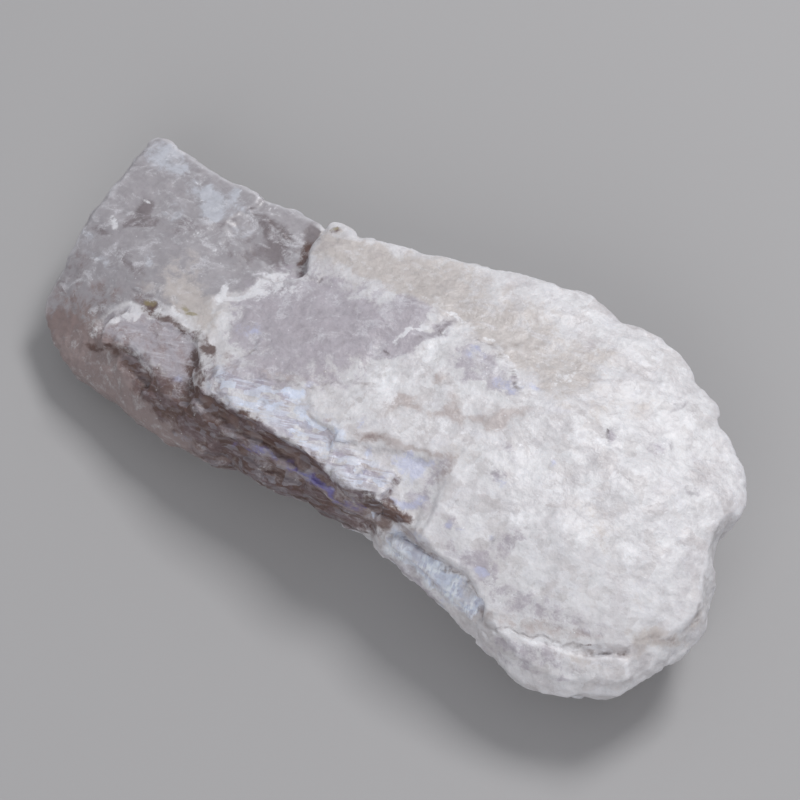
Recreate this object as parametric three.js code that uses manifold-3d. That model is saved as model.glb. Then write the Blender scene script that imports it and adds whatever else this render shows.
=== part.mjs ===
// A rough moonstone: a broken slab of milky feldspar that lies on a flat cleavage face.
// Millimetres. +X runs along the stone to its wide end, +Z is up out of its broad top,
// and -Y faces the side where the layers have broken into ledges.

import * as THREE from 'three';
import { ImprovedNoise } from 'three/addons/math/ImprovedNoise.js';
import { mergeVertices } from 'three/addons/utils/BufferGeometryUtils.js';
import Module from 'manifold-3d';

const DEGREE = Math.PI / 180;

// The widest line around the stone, read clockwise from above, starting at the far corner of
// the narrow end. Each row holds x, y, the height of the line there, and how far the top's own
// edge lies inside it.
const GIRDLE = [
  [-35.5, 8.8, 9.4, 0.8], [-34.8, 9.8, 9.5, 0.8], [-33.5, 10.1, 9.6, 0.7], [-30.3, 9.5, 9.8, 0.6],
  [-25.6, 9.3, 10.0, 0.6], [-21.5, 9.3, 10.2, 0.5], [-19.4, 9.5, 10.3, 0.5], [-19.2, 10.0, 10.3, 0.5],
  [-16.2, 10.1, 10.5, 0.5], [-14.8, 9.9, 12.4, 0.5], [-11.2, 9.6, 12.8, 0.6], [-10.3, 10.4, 12.8, 0.6],
  [-6.6, 11.4, 13.0, 0.5], [-5.2, 11.5, 13.1, 0.6], [-2.7, 12.6, 13.2, 0.6], [-0.8, 13.3, 13.2, 0.6],
  [3.3, 14.5, 13.2, 0.6], [6.0, 15.4, 13.2, 0.6], [8.5, 16.4, 13.1, 0.6], [10.8, 16.4, 13.0, 0.6],
  [13.2, 15.7, 13.0, 0.5], [14.8, 16.3, 12.9, 0.6], [18.0, 16.6, 12.8, 0.7], [19.7, 16.4, 12.8, 0.7],
  [21.5, 15.4, 12.7, 0.7], [22.1, 14.7, 12.7, 0.6], [25.1, 13.6, 12.6, 0.7], [26.5, 12.0, 12.5, 0.7],
  [29.7, 10.1, 12.3, 0.7], [31.3, 8.8, 12.1, 0.8], [32.4, 6.9, 12.0, 0.7], [32.6, 5.3, 11.8, 0.6],
  [31.9, 4.7, 11.4, 0.4], [31.9, 3.7, 10.8, 0.4], [32.1, 2.5, 9.4, 0.6], [32.8, 1.0, 8.8, 0.9],
  [33.9, -0.1, 8.6, 1.2], [34.1, -1.5, 8.6, 1.0], [35.3, -3.6, 8.5, 1.2], [35.4, -5.2, 8.3, 1.2],
  [34.3, -8.6, 8.0, 1.2], [33.2, -11.3, 7.8, 1.6], [32.2, -13.0, 7.6, 2.0], [30.0, -14.4, 7.5, 2.4],
  [28.8, -15.5, 7.4, 2.6], [26.5, -16.4, 7.2, 2.8], [23.4, -16.5, 7.0, 2.6], [21.5, -15.9, 6.9, 2.6],
  [18.2, -15.3, 6.8, 2.6], [14.0, -14.6, 6.7, 2.4], [11.4, -13.8, 6.6, 1.8], [7.8, -13.5, 6.6, 1.5],
  [6.5, -13.2, 6.8, 1.4], [5.6, -12.3, 7.4, 0.6], [4.0, -12.4, 7.2, 0.5], [0.6, -12.8, 6.8, 0.9],
  [-3.5, -13.0, 6.6, 1.2], [-6.7, -13.4, 6.4, 1.6], [-10.4, -13.0, 6.0, 1.2], [-11.5, -13.8, 5.6, 2.0],
  [-14.5, -14.1, 5.0, 2.6], [-17.2, -14.3, 4.8, 3.0], [-20.9, -14.0, 4.6, 3.2], [-25.1, -13.4, 4.4, 2.6],
  [-28.9, -12.9, 4.2, 1.6], [-30.8, -11.9, 4.2, 1.4], [-32.6, -11.6, 4.2, 1.4], [-34.1, -10.0, 4.6, 1.4],
  [-35.1, -7.8, 5.2, 1.2], [-35.1, -5.6, 6.0, 1.0], [-35.4, -3.2, 7.0, 0.9], [-35.4, -0.2, 8.0, 0.8],
  [-35.3, 3.0, 8.8, 0.8], [-35.4, 5.9, 9.2, 0.8],
];

// Heights of the top before its layers step down, as x, y, z.
const TOP_HEIGHTS = [
  [6, 3, 15.6], [16, 3, 15.8], [25, 1, 15.1], [30, 5, 13.6], [30, -3, 13.6], [30, -8, 12.5],
  [22, -7, 14.8], [12, -6, 15.2], [2, -5, 14.9], [-6, -3, 14.0], [-12, 0, 12.8], [-12.5, 7, 13.5],
  [-4, 5, 14.8], [4, 11, 14.8], [-4, 10, 14.0], [14, 13, 14.3], [22, 11, 14.2], [28, 9, 13.2],
  [18, -11.4, 13.2], [24, -11, 12.4], [28, -10.2, 11.8], [9, -11, 13.9], [0, -11, 14.0],
  [-8, -11, 13.6], [-13, -10, 12.9], [-14, 9, 13.2], [-10, 10, 13.5], [0, 13, 13.9], [9, 15.8, 13.8],
  [19, 15.8, 13.4], [26, 11.8, 13.1], [31.5, 8, 12.6], [33, 0, 12.2], [33.6, -5, 11.8],
  [-17, 7, 11.3], [-17, 2, 11.4], [-18, -4, 11.6], [-17, -9, 11.2], [-24, 8, 11.0], [-24, 0, 11.1],
  [-25, -4.5, 10.8], [-31, 8, 10.3], [-33, 0, 9.7], [-31, -4, 9.4], [-30, -7, 7.8], [-31, -10, 5.4],
  [-26, -8.5, 8.6], [-27, -11.5, 6.4], [-21, -8, 10.3], [-21, -10.8, 8.8], [-15, -11.6, 10.4],
  [24, -14.2, 10.0], [30, -12.2, 10.2],
];
// How far around a place the listed heights count.
const HEIGHT_REACH = 3.2;

// The block that carries the top surface: its size in plan and the spacing of its grid.
const TOP_BLOCK = { length: 78, width: 40, cell: 1.6, bottom: -5 };

// The walls, as distances inside the girdle.
const CENTRE = [1, 0];
const ABOVE_TOP = 20;
const UPPER_WALL_SHARE = 0.42;
const LOWER_WALL_INSET = 1.3;
const LOWER_WALL_SHARE = 0.45;
const FOOT_INSET = 3.3;
const FOOT_DEPTH = 0.4;

// Unevenness of the broken surface: how far across its lumps are, how high, and which pattern.
const TOP_LUMP = { size: 5.5, height: 0.22, seed: 3.7 };
const WALL_LUMP = { size: 4.6, height: 0.28, seed: 5.3 };
const GIRDLE_LUMP = { size: 1.7, height: 0.12, seed: 8.1 };
// The finer lumps on each lump: how many times smaller, and how high beside it.
const FINER = 2.1;
const FINE_SHARE = 0.45;

// Places where a layer has come away down to a tilted floor: the outline of the hole in plan,
// the height of its floor at the middle of that outline, how the floor rises along +Y (pitch)
// and along +X (roll) in degrees, and how far the walls spread on their way up. A hole goes up
// past the top unless it has a ceiling.
const HOLE_CEILING = 24;
const HOLES = {
  notchStep: {
    plan: [[-22, 12], [-14.2, 12], [-14.7, 9.2], [-14.6, 7.9], [-14.5, 6.6], [-14.1, 5.6], [-13.5, 4.6],
      [-13.0, 3.5], [-14.3, 2.7], [-16.5, 1.4], [-22, 3]],
    floor: 10.95, pitch: -1.5, roll: 0, spread: 0.2,
  },
  frontOfBackStrip: {
    plan: [[-22.3, 7.4], [-19.7, 7.35], [-16.8, 6.9], [-15.6, 4.2], [-19, 3.2], [-23, 5]],
    floor: 10.75, pitch: 4, roll: 1, spread: 0.1,
  },
  plate: {
    plan: [[-26.7, -8.4], [-25.7, -7.4], [-24.2, -6.4], [-22.6, -6.8], [-20, -6.7], [-17.6, -6.6],
      [-16.3, -8.2], [-15.2, -10.3], [-14.6, -11.9], [-15.4, -13], [-22, -14.5], [-27.5, -12.5]],
    floor: 9.75, pitch: 14, roll: 3, spread: 0.8,
  },
  plateCombUpper: {
    plan: [[-26.9, -11.1], [-22.9, -9.4], [-22.0, -10.5], [-22.4, -13], [-26, -14]],
    floor: 8.5, pitch: 20, roll: 4, spread: 0.2,
  },
  plateCombLower: {
    plan: [[-26.4, -12.1], [-22.6, -10.4], [-21.9, -11.2], [-22.2, -14], [-26, -14.5]],
    floor: 7.6, pitch: 22, roll: 5, spread: 0.2,
  },
  gapByKnob: {
    plan: [[-21.4, -11.2], [-21.3, -14.5], [-19.6, -14.5], [-19.3, -11.1], [-20.4, -10.7]],
    floor: 7.4, pitch: 18, roll: 0, spread: 0.3,
  },
  blueRecess: {
    plan: [[-0.6, -9.4], [0.8, -8.7], [3.3, -7.6], [5.3, -7.0], [9.0, -5.8], [9.7, -7.3], [10.6, -9.6],
      [11.4, -13.5], [-1.0, -13.5]],
    floor: 13.55, pitch: 8, roll: -1.5, spread: 0.5,
  },
  besideBlock: {
    plan: [[6.3, -8.9], [9.4, -8.6], [10.6, -13.5], [6.6, -13.5]],
    floor: 12.7, pitch: 14, roll: -2, spread: 0.3,
  },
  glitterStep: {
    plan: [[-13.6, -9.4], [-9.4, -7.9], [-4.9, -6.3], [-4.2, -8.2], [-0.4, -8.9], [0.2, -13.5],
      [-13.9, -13.5]],
    floor: 13.15, pitch: 6, roll: 1.5, spread: 0.3,
  },
  undercutBand: {
    plan: [[-13.6, -11.3], [-9, -11.6], [-4, -11.3], [1, -11.7], [3.2, -12.1], [6.4, -11.2],
      [6.6, -14.5], [-13.8, -14.5]],
    floor: 10.6, ceiling: 12.9, pitch: 0, roll: 0.5, spread: 0.1,
  },
  bandUnderLilac: {
    plan: [[-9.6, -12.0], [-4.4, -12.2], [-1.6, -11.9], [-1.2, -14.5], [-9.8, -14.5]],
    floor: 8.2, ceiling: 9.6, pitch: 8, roll: 1, spread: 0.1,
  },
  darkFacet: {
    plan: [[-1.9, -12.4], [1.2, -12.1], [1.5, -14.5], [-2.2, -14.5]],
    floor: 6.2, ceiling: 9.4, pitch: 18, roll: 0, spread: 0.1,
  },
  grooveBehindRib: {
    plan: [[6.6, -11.2], [9.2, -11.6], [11.1, -11.9], [13.1, -12.2], [16.2, -12.1], [18.8, -13.7],
      [19.8, -16.5], [6.2, -16.5]],
    floor: 9.7, pitch: 16, roll: -1, spread: 0.6,
  },
  ribEnd: {
    plan: [[3.4, -12.1], [6.1, -11.9], [7.1, -12.6], [6.5, -13.4], [6.8, -15], [3.2, -15]],
    floor: 5.0, ceiling: 9.2, pitch: 25, roll: 0, spread: 0.2,
  },
  crevice: {
    plan: [[19.6, -15.9], [22.3, -14.5], [25.3, -13.2], [27.7, -12.4], [28.5, -11.8], [29.4, -11.1],
      [31.2, -10.3], [31.4, -10.8], [28.8, -12.8], [25.6, -14.0], [22.5, -15.2], [20, -16.6]],
    floor: 9.3, pitch: 0, roll: 2, spread: 0.2,
  },
  wideEndShelf: {
    plan: [[33.7, -0.6], [34.4, -3.1], [34.1, -4.6], [34.5, -6.1], [34.3, -7.4], [33.4, -7.9],
      [32.1, -8.6], [31.3, -10.4], [36, -14], [39, -4], [36, 0]],
    floor: 10.3, pitch: 2, roll: -14, spread: 0.3,
  },
};

// Layers missing from the underside, with the same terms for the roof of each, and how far the
// cut reaches below it.
const UNDERSIDE_REACH = 20;
const UNDERSIDE_STEPS = {
  wideEnd: {
    plan: [[16, -22], [17, -7], [14.5, 1], [18.5, 22], [42, 22], [42, -22]],
    roof: 1.4, pitch: 1, roll: 3, spread: 0.3,
  },
  narrowEnd: {
    plan: [[-22, -22], [-24, -5], [-21.5, 3], [-23.5, 22], [-42, 22], [-42, -22]],
    roof: 1.0, pitch: 0, roll: -3, spread: 0.3,
  },
  scar: {
    plan: [[-9, -3.5], [-1, -6], [6.5, -1.5], [3.5, 3.6], [-6, 2.8]],
    roof: 0.55, pitch: 3, roll: -2, spread: 0.2,
  },
};

// Lumps and ledges that stand proud of the flank, with the same terms; foot is where each ends.
const LEDGES = {
  block: {
    plan: [[2.3, -9.4], [3.9, -9.6], [6.1, -9.0], [6.2, -11.8], [4.4, -12.5], [2.6, -12.7], [1.2, -12.2],
      [1.5, -10.6]],
    foot: 11, top: 13.7, pitch: 7, roll: 0, spread: 0.15,
  },
  plateBody: {
    plan: [[-26.7, -8.4], [-25.7, -7.4], [-24.2, -6.4], [-22.6, -6.8], [-20, -6.7], [-17.6, -6.6],
      [-16.3, -8.2], [-15.2, -10.3], [-15.1, -11.4], [-17.3, -11.6], [-20.9, -11.0], [-22.9, -10.2],
      [-26.0, -11.6], [-26.9, -10.6]],
    foot: 6, top: 9.75, pitch: 14, roll: 3, spread: 0.3,
  },
  lilacLedge: {
    plan: [[-12.9, -10.6], [-12.7, -12.3], [-9.7, -13.1], [-6.2, -12.8], [-5.2, -11.8], [-5.0, -10.6]],
    foot: 7.6, top: 10.75, pitch: 14, roll: 2, spread: 0.3,
  },
  violetLedge: {
    plan: [[-4.4, -10.8], [-4.2, -12.5], [0.2, -12.9], [3.4, -13.1], [6.5, -12.7], [6.8, -10.8]],
    foot: 9.0, top: 10.5, pitch: 16, roll: -1, spread: 0.25,
  },
  lowerLedge: {
    plan: [[-9.4, -11], [-8.8, -13.2], [-5.4, -13.9], [-3.2, -13.5], [-2.0, -12.6], [-1.8, -11]],
    foot: 5.2, top: 8.4, pitch: 20, roll: 3, spread: 0.4,
  },
  lowerFlankStrip: {
    plan: [[1.7, -11], [1.9, -12.7], [4.6, -12.4], [5.4, -11]],
    foot: 5.8, top: 8.7, pitch: 16, roll: -2, spread: 0.3,
  },
  greyApron: {
    plan: [[-24.0, -10.5], [-22.8, -13.0], [-17.8, -13.7], [-13.4, -13.8], [-10.8, -13.4], [-10.2, -10.5]],
    foot: 3.6, top: 7.0, pitch: 22, roll: 0, spread: 0.6,
  },
  paleLens: {
    plan: [[-15.6, -12.5], [-14.8, -13.9], [-12.4, -14.2], [-11.6, -13.8], [-11.3, -12.4]],
    foot: 4.6, top: 6.9, pitch: 30, roll: -2, spread: 0.4,
  },
  knob: {
    plan: [[-24.2, -10], [-24.1, -11.9], [-22.9, -12.7], [-21.7, -12.2], [-21.5, -10.4]],
    foot: 5, top: 8.2, pitch: 26, roll: 4, spread: 0.4,
  },
  rib: {
    plan: [[7.1, -12.9], [8.0, -12.3], [11.1, -12.4], [13.6, -12.7], [16.4, -12.8], [18.6, -14.2],
      [19.0, -15.0], [16.6, -14.9], [13.6, -14.5], [10.8, -13.9], [7.8, -13.6]],
    foot: 6.4, top: 10.3, pitch: 38, roll: 4, spread: 0.35,
  },
  ribFoot: {
    plan: [[8.6, -12.6], [9.2, -13.9], [13.6, -14.8], [17.4, -15.2], [18.2, -13.6]],
    foot: 5.6, top: 8.0, pitch: 20, roll: 4, spread: 0.3,
  },
  lip: {
    plan: [[20.4, -15.5], [22.6, -14.9], [25.6, -13.7], [28.4, -12.5], [30.2, -11.0], [31.6, -10.4],
      [32.8, -11.6], [32.1, -12.8], [30.0, -14.1], [28.7, -15.2], [26.5, -16.1], [23.4, -16.3],
      [21.5, -15.7]],
    foot: 6.6, top: 9.8, pitch: 36, roll: -14, spread: 0.1,
  },
  backLedgeMiddle: {
    plan: [[-6, 6], [-4.2, 10.2], [0.4, 12.4], [3.2, 12.7], [5.4, 14.0], [9.8, 14.6], [12.9, 14.1],
      [17.2, 12.4], [19, 7]],
    foot: 1.2, top: 6.4, pitch: -32, roll: 6, spread: 2.4,
  },
  backLedgeWide: {
    plan: [[15, 7], [17.4, 12.6], [20.6, 13.0], [22.4, 12.1], [25.2, 10.7], [28.2, 8.2], [28.6, 4]],
    foot: 1.4, top: 5.2, pitch: -30, roll: -9, spread: 2.2,
  },
  backLedgeNarrow: {
    plan: [[-31, 2], [-29.7, 6.6], [-26.6, 7.3], [-23.9, 7.1], [-21.0, 7.7], [-17.4, 6.6], [-16, 2]],
    foot: 1.0, top: 4.4, pitch: -30, roll: 6, spread: 1.8,
  },
};

// How much wider a broken face gets on each side for each millimetre that the stone beside it
// stands out, so that it ends in a sloping shoulder.
const BREAK_FLARE = 1.5;
// A width that runs past the stone on every side, and how deep the cut block reaches outwards.
const PAST_STONE = 160;
const BREAK_DEPTH = 60;

// Broken faces of the walls and the underside: a point on each, the way it faces, and its width
// where it doesn't run past the stone.
const BREAKS = {
  restingFace: { at: [0, 0, 0], facing: [0, 0, -1] },
  underWideEnd: { at: [19, 0, 0], facing: [0.13, 0.03, -1] },
  underNarrowEnd: { at: [-25, 0, 0], facing: [-0.16, -0.04, -1] },
  backMiddle: { at: [9, 15.2, 9], facing: [0.06, 0.93, -0.36], width: 28 },
  backLowMiddle: { at: [4, 11.2, 3], facing: [-0.12, 0.78, -0.62], width: 30 },
  backLeft: { at: [-1.6, 11.8, 7], facing: [-0.34, 0.9, -0.28], width: 15 },
  backWide: { at: [24, 12.4, 7], facing: [0.42, 0.84, -0.34], width: 30 },
  backCorner: { at: [30.2, 6.6, 6], facing: [0.85, 0.4, -0.34], width: 24 },
  narrowBack: { at: [-25, 8.0, 5.5], facing: [0.03, 0.9, -0.44], width: 23 },
  narrowBackLow: { at: [-23, 5.8, 1.6], facing: [0.2, 0.6, -0.77], width: 16 },
  narrowEnd: { at: [-34.3, 3, 5], facing: [-0.94, 0.08, -0.33], width: 30 },
  narrowEndLow: { at: [-33.4, -4.4, 1.9], facing: [-0.75, -0.2, -0.63], width: 30 },
  nearCorner: { at: [-31.6, -9.6, 2.2], facing: [-0.5, -0.6, -0.62], width: 20 },
  nearFoot: { at: [-14, -12.2, 2.2], facing: [0.04, -0.72, -0.69], width: 27 },
  nearFootMiddle: { at: [2, -11.0, 3.0], facing: [0.06, -0.8, -0.6], width: 22 },
  nearFootWide: { at: [14.0, -13.5, 3.0], facing: [0.18, -0.74, -0.65], width: 9 },
  lipUnder: { at: [27, -13.6, 3.6], facing: [0.3, -0.68, -0.67], width: 20 },
  wideEndUnder: { at: [33.1, -5, 4.0], facing: [0.86, -0.18, -0.48], width: 26 },
  chipBackMiddle: { at: [1, 12.4, 6], facing: [-0.5, 0.7, -0.5], width: 8 },
  chipBackWide: { at: [21, 13.4, 5], facing: [0.6, 0.6, -0.55], width: 9 },
  chipNarrowBack: { at: [-27, 6.8, 3.6], facing: [-0.25, 0.75, -0.6], width: 9 },
  chipNarrowEnd: { at: [-33.2, 0.5, 3.2], facing: [-0.8, -0.3, -0.5], width: 7 },
  chipWideEnd: { at: [31.6, -6.5, 3.4], facing: [0.72, -0.35, -0.6], width: 7 },
};

const noise = new ImprovedNoise();

/** How far the surface swells at a place. */
function lump(x, y, z, { size, height, seed }) {
  const coarse = noise.noise(x / size + seed, y / size, z / size);
  const fineSize = size / FINER;
  const fine = noise.noise(x / fineSize, y / fineSize + seed, z / fineSize);
  return height * (coarse + FINE_SHARE * fine);
}

/** Height of the stone's top: the plane that best fits the listed heights near a place. */
function topHeight(x, y) {
  const sums = [[0, 0, 0, 0], [0, 0, 0, 0], [0, 0, 0, 0]];
  for (const [hx, hy, hz] of TOP_HEIGHTS) {
    const terms = [1, hx - x, hy - y, hz];
    const weight = 1 / ((hx - x) ** 2 + (hy - y) ** 2 + HEIGHT_REACH ** 2) ** 3;
    sums.forEach((row, i) => row.forEach((_, k) => { row[k] += weight * terms[i] * terms[k]; }));
  }
  const matrix = new THREE.Matrix3().set(...sums.flatMap((row) => row.slice(0, 3)));
  const right = new THREE.Vector3(...sums.map((row) => row[3]));
  const height = right.applyMatrix3(matrix.invert()).x;
  return height + lump(x, y, 0, TOP_LUMP);
}

/** The girdle with a point added halfway along each edge, pushed slightly in or out. */
function girdleColumns() {
  const columns = [];
  GIRDLE.forEach((row, i) => {
    const next = GIRDLE[(i + 1) % GIRDLE.length];
    const [x, y, z, inset] = row.map((value, k) => (value + next[k]) / 2);
    const push = lump(x, y, z, GIRDLE_LUMP);
    const run = [next[0] - row[0], next[1] - row[1]];
    columns.push(row, [x - push * run[1], y + push * run[0], z, inset]);
  });
  return columns;
}

/** A point moved towards the middle of the stone by a distance in plan. */
function movedIn(x, y, distance) {
  const reach = Math.hypot(CENTRE[0] - x, CENTRE[1] - y);
  const share = distance / reach;
  return [x + share * (CENTRE[0] - x), y + share * (CENTRE[1] - y)];
}

/** The edge of the top, where the wall of one column ends. */
function topEdge([x, y, , inset]) {
  const [px, py] = movedIn(x, y, inset);
  return [px, py, topHeight(px, py)];
}

/** One ring of the wall, made uneven across the wall. */
function wallRing(columns, insetOf, heightOf) {
  return columns.map((column) => {
    const [x, y] = column;
    const z = heightOf(column);
    return [...movedIn(x, y, insetOf(column) + lump(x, y, z, WALL_LUMP)), z];
  });
}

/** The stone's walls and underside, going straight up past its top. */
function wallGeometry() {
  const columns = girdleColumns();
  const upperInset = ([, , , inset]) => UPPER_WALL_SHARE * inset;
  const upperHeight = (column) => (topEdge(column)[2] + column[2]) / 2;
  const rings = [
    columns.map((column) => [...topEdge(column).slice(0, 2), ABOVE_TOP]),
    columns.map(topEdge),
    wallRing(columns, upperInset, upperHeight),
    columns.map(([x, y, z]) => [x, y, z]),
    wallRing(columns, () => LOWER_WALL_INSET, ([, , z]) => LOWER_WALL_SHARE * z),
    wallRing(columns, () => FOOT_INSET, () => -FOOT_DEPTH),
  ];
  const count = columns.length;
  const faces = [];
  for (let ring = 0; ring + 1 < rings.length; ring += 1) {
    for (let i = 0; i < count; i += 1) {
      const j = (i + 1) % count;
      const [upper, lower] = [ring * count, (ring + 1) * count];
      faces.push([upper + i, upper + j, lower + j], [upper + i, lower + j, lower + i]);
    }
  }
  const cover = (ring) => {
    const outline = rings[ring].map(([x, y]) => new THREE.Vector2(x, y));
    return THREE.ShapeUtils.triangulateShape(outline, [])
      .map((face) => face.map((corner) => ring * count + corner));
  };
  const facesUp = ([a, b, c]) => {
    const points = rings.flat();
    return (points[b][0] - points[a][0]) * (points[c][1] - points[a][1])
      > (points[b][1] - points[a][1]) * (points[c][0] - points[a][0]);
  };
  cover(0).forEach((face) => faces.push(facesUp(face) ? face : face.reverse()));
  cover(rings.length - 1).forEach((face) => faces.push(facesUp(face) ? face.reverse() : face));

  const geometry = new THREE.BufferGeometry();
  geometry.setAttribute('position', new THREE.Float32BufferAttribute(rings.flat(2), 3));
  geometry.setIndex(faces.flat());
  return geometry;
}

/** A block whose upper side is the stone's top surface. */
function topGeometry() {
  const { length, width, cell, bottom } = TOP_BLOCK;
  const geometry = new THREE.BoxGeometry(
    length, width, 2, Math.round(length / cell), Math.round(width / cell), 1,
  );
  const position = geometry.getAttribute('position');
  for (let i = 0; i < position.count; i += 1) {
    const [x, y] = [position.getX(i), position.getY(i)];
    position.setZ(i, position.getZ(i) > 0 ? topHeight(x, y) : bottom);
  }
  return geometry;
}

/** An upright block over an outline in plan, its walls spreading by a distance at the top. */
function blockGeometry(plan, bottom, top, spread) {
  const shape = new THREE.Shape(plan.map(([x, y]) => new THREE.Vector2(x, y)));
  const geometry = new THREE.ExtrudeGeometry(shape, { depth: top - bottom, bevelEnabled: false });
  const middle = middleOf(plan);
  const position = geometry.getAttribute('position');
  const halfWidth = Math.sqrt(Math.abs(THREE.ShapeUtils.area(shape.getPoints()))) / 2;
  for (let i = 0; i < position.count; i += 1) {
    const scale = position.getZ(i) > 0 ? 1 + spread / halfWidth : 1;
    position.setX(i, middle[0] + scale * (position.getX(i) - middle[0]));
    position.setY(i, middle[1] + scale * (position.getY(i) - middle[1]));
  }
  return geometry.translate(0, 0, bottom);
}

/** The middle of an outline in plan. */
function middleOf(plan) {
  const total = plan.reduce(([sx, sy], [x, y]) => [sx + x, sy + y], [0, 0]);
  return [total[0] / plan.length, total[1] / plan.length];
}

/** Tilts a block about the middle of its plan at one height: up along +Y and up along +X. */
function tilted(geometry, plan, height, pitch, roll) {
  const [x, y] = middleOf(plan);
  geometry.translate(-x, -y, -height);
  geometry.rotateX(pitch * DEGREE);
  geometry.rotateY(-roll * DEGREE);
  return geometry.translate(x, y, height);
}

/** What lies on the outer side of a plane, as a block of a given width that flares outwards. */
function beyondGeometry({ at, facing, width = PAST_STONE }) {
  const outward = new THREE.Vector3(...facing).normalize();
  const across = new THREE.Vector3(0, 0, 1).cross(outward);
  if (across.lengthSq() < 1e-6) across.set(1, 0, 0);
  across.normalize();
  const turn = new THREE.Matrix4().makeBasis(across, outward.clone().cross(across), outward);
  const geometry = new THREE.BoxGeometry(width, PAST_STONE, BREAK_DEPTH)
    .translate(0, 0, BREAK_DEPTH / 2);
  const position = geometry.getAttribute('position');
  for (let i = 0; i < position.count; i += 1) {
    const widening = 1 + (2 * BREAK_FLARE * position.getZ(i)) / width;
    position.setX(i, widening * position.getX(i));
  }
  return geometry.applyMatrix4(turn).translate(...at);
}

const wasm = await Module();
wasm.setup();

/** A closed three.js geometry as a solid. */
function solidOf(geometry) {
  geometry.deleteAttribute('normal');
  geometry.deleteAttribute('uv');
  const merged = mergeVertices(geometry, 1e-4);
  return new wasm.Manifold(new wasm.Mesh({
    numProp: 3,
    vertProperties: merged.getAttribute('position').array,
    triVerts: Uint32Array.from(merged.getIndex().array),
  }));
}

/** A solid as a three.js geometry. */
function geometryOf(solid) {
  const mesh = solid.getMesh();
  const geometry = new THREE.BufferGeometry();
  geometry.setAttribute('position', new THREE.BufferAttribute(mesh.vertProperties, 3));
  geometry.setIndex(new THREE.BufferAttribute(mesh.triVerts, 1));
  const faceted = geometry.toNonIndexed();
  faceted.computeVertexNormals();
  return faceted;
}

/** A ledge: a block whose top is tilted, down to its foot. */
function ledgeSolid({ plan, foot, top, pitch, roll, spread }) {
  const geometry = blockGeometry(plan, foot, top, -spread);
  return solidOf(tilted(geometry, plan, top, pitch, roll));
}

/** What a hole takes away: a block from its tilted floor to its ceiling or past the top. */
function holeSolid({ plan, floor, ceiling = HOLE_CEILING, pitch, roll, spread }) {
  const geometry = blockGeometry(plan, floor, ceiling, spread);
  return solidOf(tilted(geometry, plan, floor, pitch, roll));
}

/** What an underside step takes away: a block from below the stone up to its tilted roof. */
function undersideSolid({ plan, roof, pitch, roll, spread }) {
  const geometry = blockGeometry(plan, roof - UNDERSIDE_REACH, roof, -spread);
  return solidOf(tilted(geometry, plan, roof, pitch, roll));
}

/** The whole stone: walls under the top surface, its broken faces, then its holes and ledges. */
function stoneSolid() {
  let stone = solidOf(wallGeometry()).intersect(solidOf(topGeometry()));
  for (const face of Object.values(BREAKS)) stone = stone.subtract(solidOf(beyondGeometry(face)));
  for (const hole of Object.values(HOLES)) stone = stone.subtract(holeSolid(hole));
  for (const ledge of Object.values(LEDGES)) stone = stone.add(ledgeSolid(ledge));
  for (const step of Object.values(UNDERSIDE_STEPS)) stone = stone.subtract(undersideSolid(step));
  return stone;
}

const milkyFeldspar = new THREE.MeshStandardMaterial({
  color: 0xd8d5da,
  roughness: 0.5,
  metalness: 0,
});

/** The stone's geometry with its origin under the middle of its box, on the resting face. */
function stoneGeometry() {
  const geometry = geometryOf(stoneSolid());
  geometry.computeBoundingBox();
  const middle = geometry.boundingBox.getCenter(new THREE.Vector3());
  return geometry.translate(-middle.x, -middle.y, -geometry.boundingBox.min.z);
}

const moonstone = new THREE.Mesh(stoneGeometry(), milkyFeldspar);
moonstone.name = 'moonstone';

const part = new THREE.Group();
part.add(moonstone);

export default part;
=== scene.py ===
import math

import bmesh
import bpy
import numpy as np
from mathutils import Matrix, Vector


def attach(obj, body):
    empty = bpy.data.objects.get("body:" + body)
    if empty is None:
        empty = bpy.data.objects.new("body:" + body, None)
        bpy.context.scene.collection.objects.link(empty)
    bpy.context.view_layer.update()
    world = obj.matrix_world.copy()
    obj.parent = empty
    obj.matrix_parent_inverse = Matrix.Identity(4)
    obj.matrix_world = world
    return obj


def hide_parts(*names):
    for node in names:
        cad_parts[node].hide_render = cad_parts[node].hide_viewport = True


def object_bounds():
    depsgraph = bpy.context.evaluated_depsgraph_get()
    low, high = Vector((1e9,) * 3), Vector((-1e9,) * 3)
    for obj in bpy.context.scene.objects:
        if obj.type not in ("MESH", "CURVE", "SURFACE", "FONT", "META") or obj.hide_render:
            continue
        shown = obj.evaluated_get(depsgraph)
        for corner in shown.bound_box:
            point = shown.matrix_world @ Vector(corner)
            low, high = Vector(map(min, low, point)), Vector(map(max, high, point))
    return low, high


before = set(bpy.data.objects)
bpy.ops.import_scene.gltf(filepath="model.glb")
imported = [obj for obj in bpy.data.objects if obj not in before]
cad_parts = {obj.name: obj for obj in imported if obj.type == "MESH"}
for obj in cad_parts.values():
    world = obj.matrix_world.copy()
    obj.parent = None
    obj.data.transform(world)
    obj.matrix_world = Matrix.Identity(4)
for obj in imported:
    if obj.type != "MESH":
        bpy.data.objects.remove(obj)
cad_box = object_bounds()

# Sizes and places are millimetres of the frame unless a name says otherwise.
MM = 0.001

# The photograph's view.
CAMERA_AZIMUTH = 35
CAMERA_ELEVATION = 60
CAMERA_DISTANCE = 270
LOOK_AT = np.array([0.08, 0.08, 8.0])
LENS = 133.65
SENSOR = 36

# Marks on the stone are placed where they are seen from the camera, on a level sheet at this
# height over the floor, measured from the point under the middle of the picture.
SHEET_HEIGHT = 14.0
# Their edges wander by waves on the sheet: how far, how long the waves are and their seeds.
EDGE_WAVES = [(0.22, 2.4, (61, 62)), (0.12, 0.9, (63, 64))]
# A part of the surface counts as seen as its lean towards the camera goes from one to the other.
SEEN_LEAN = (-0.1, 0.12)

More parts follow.
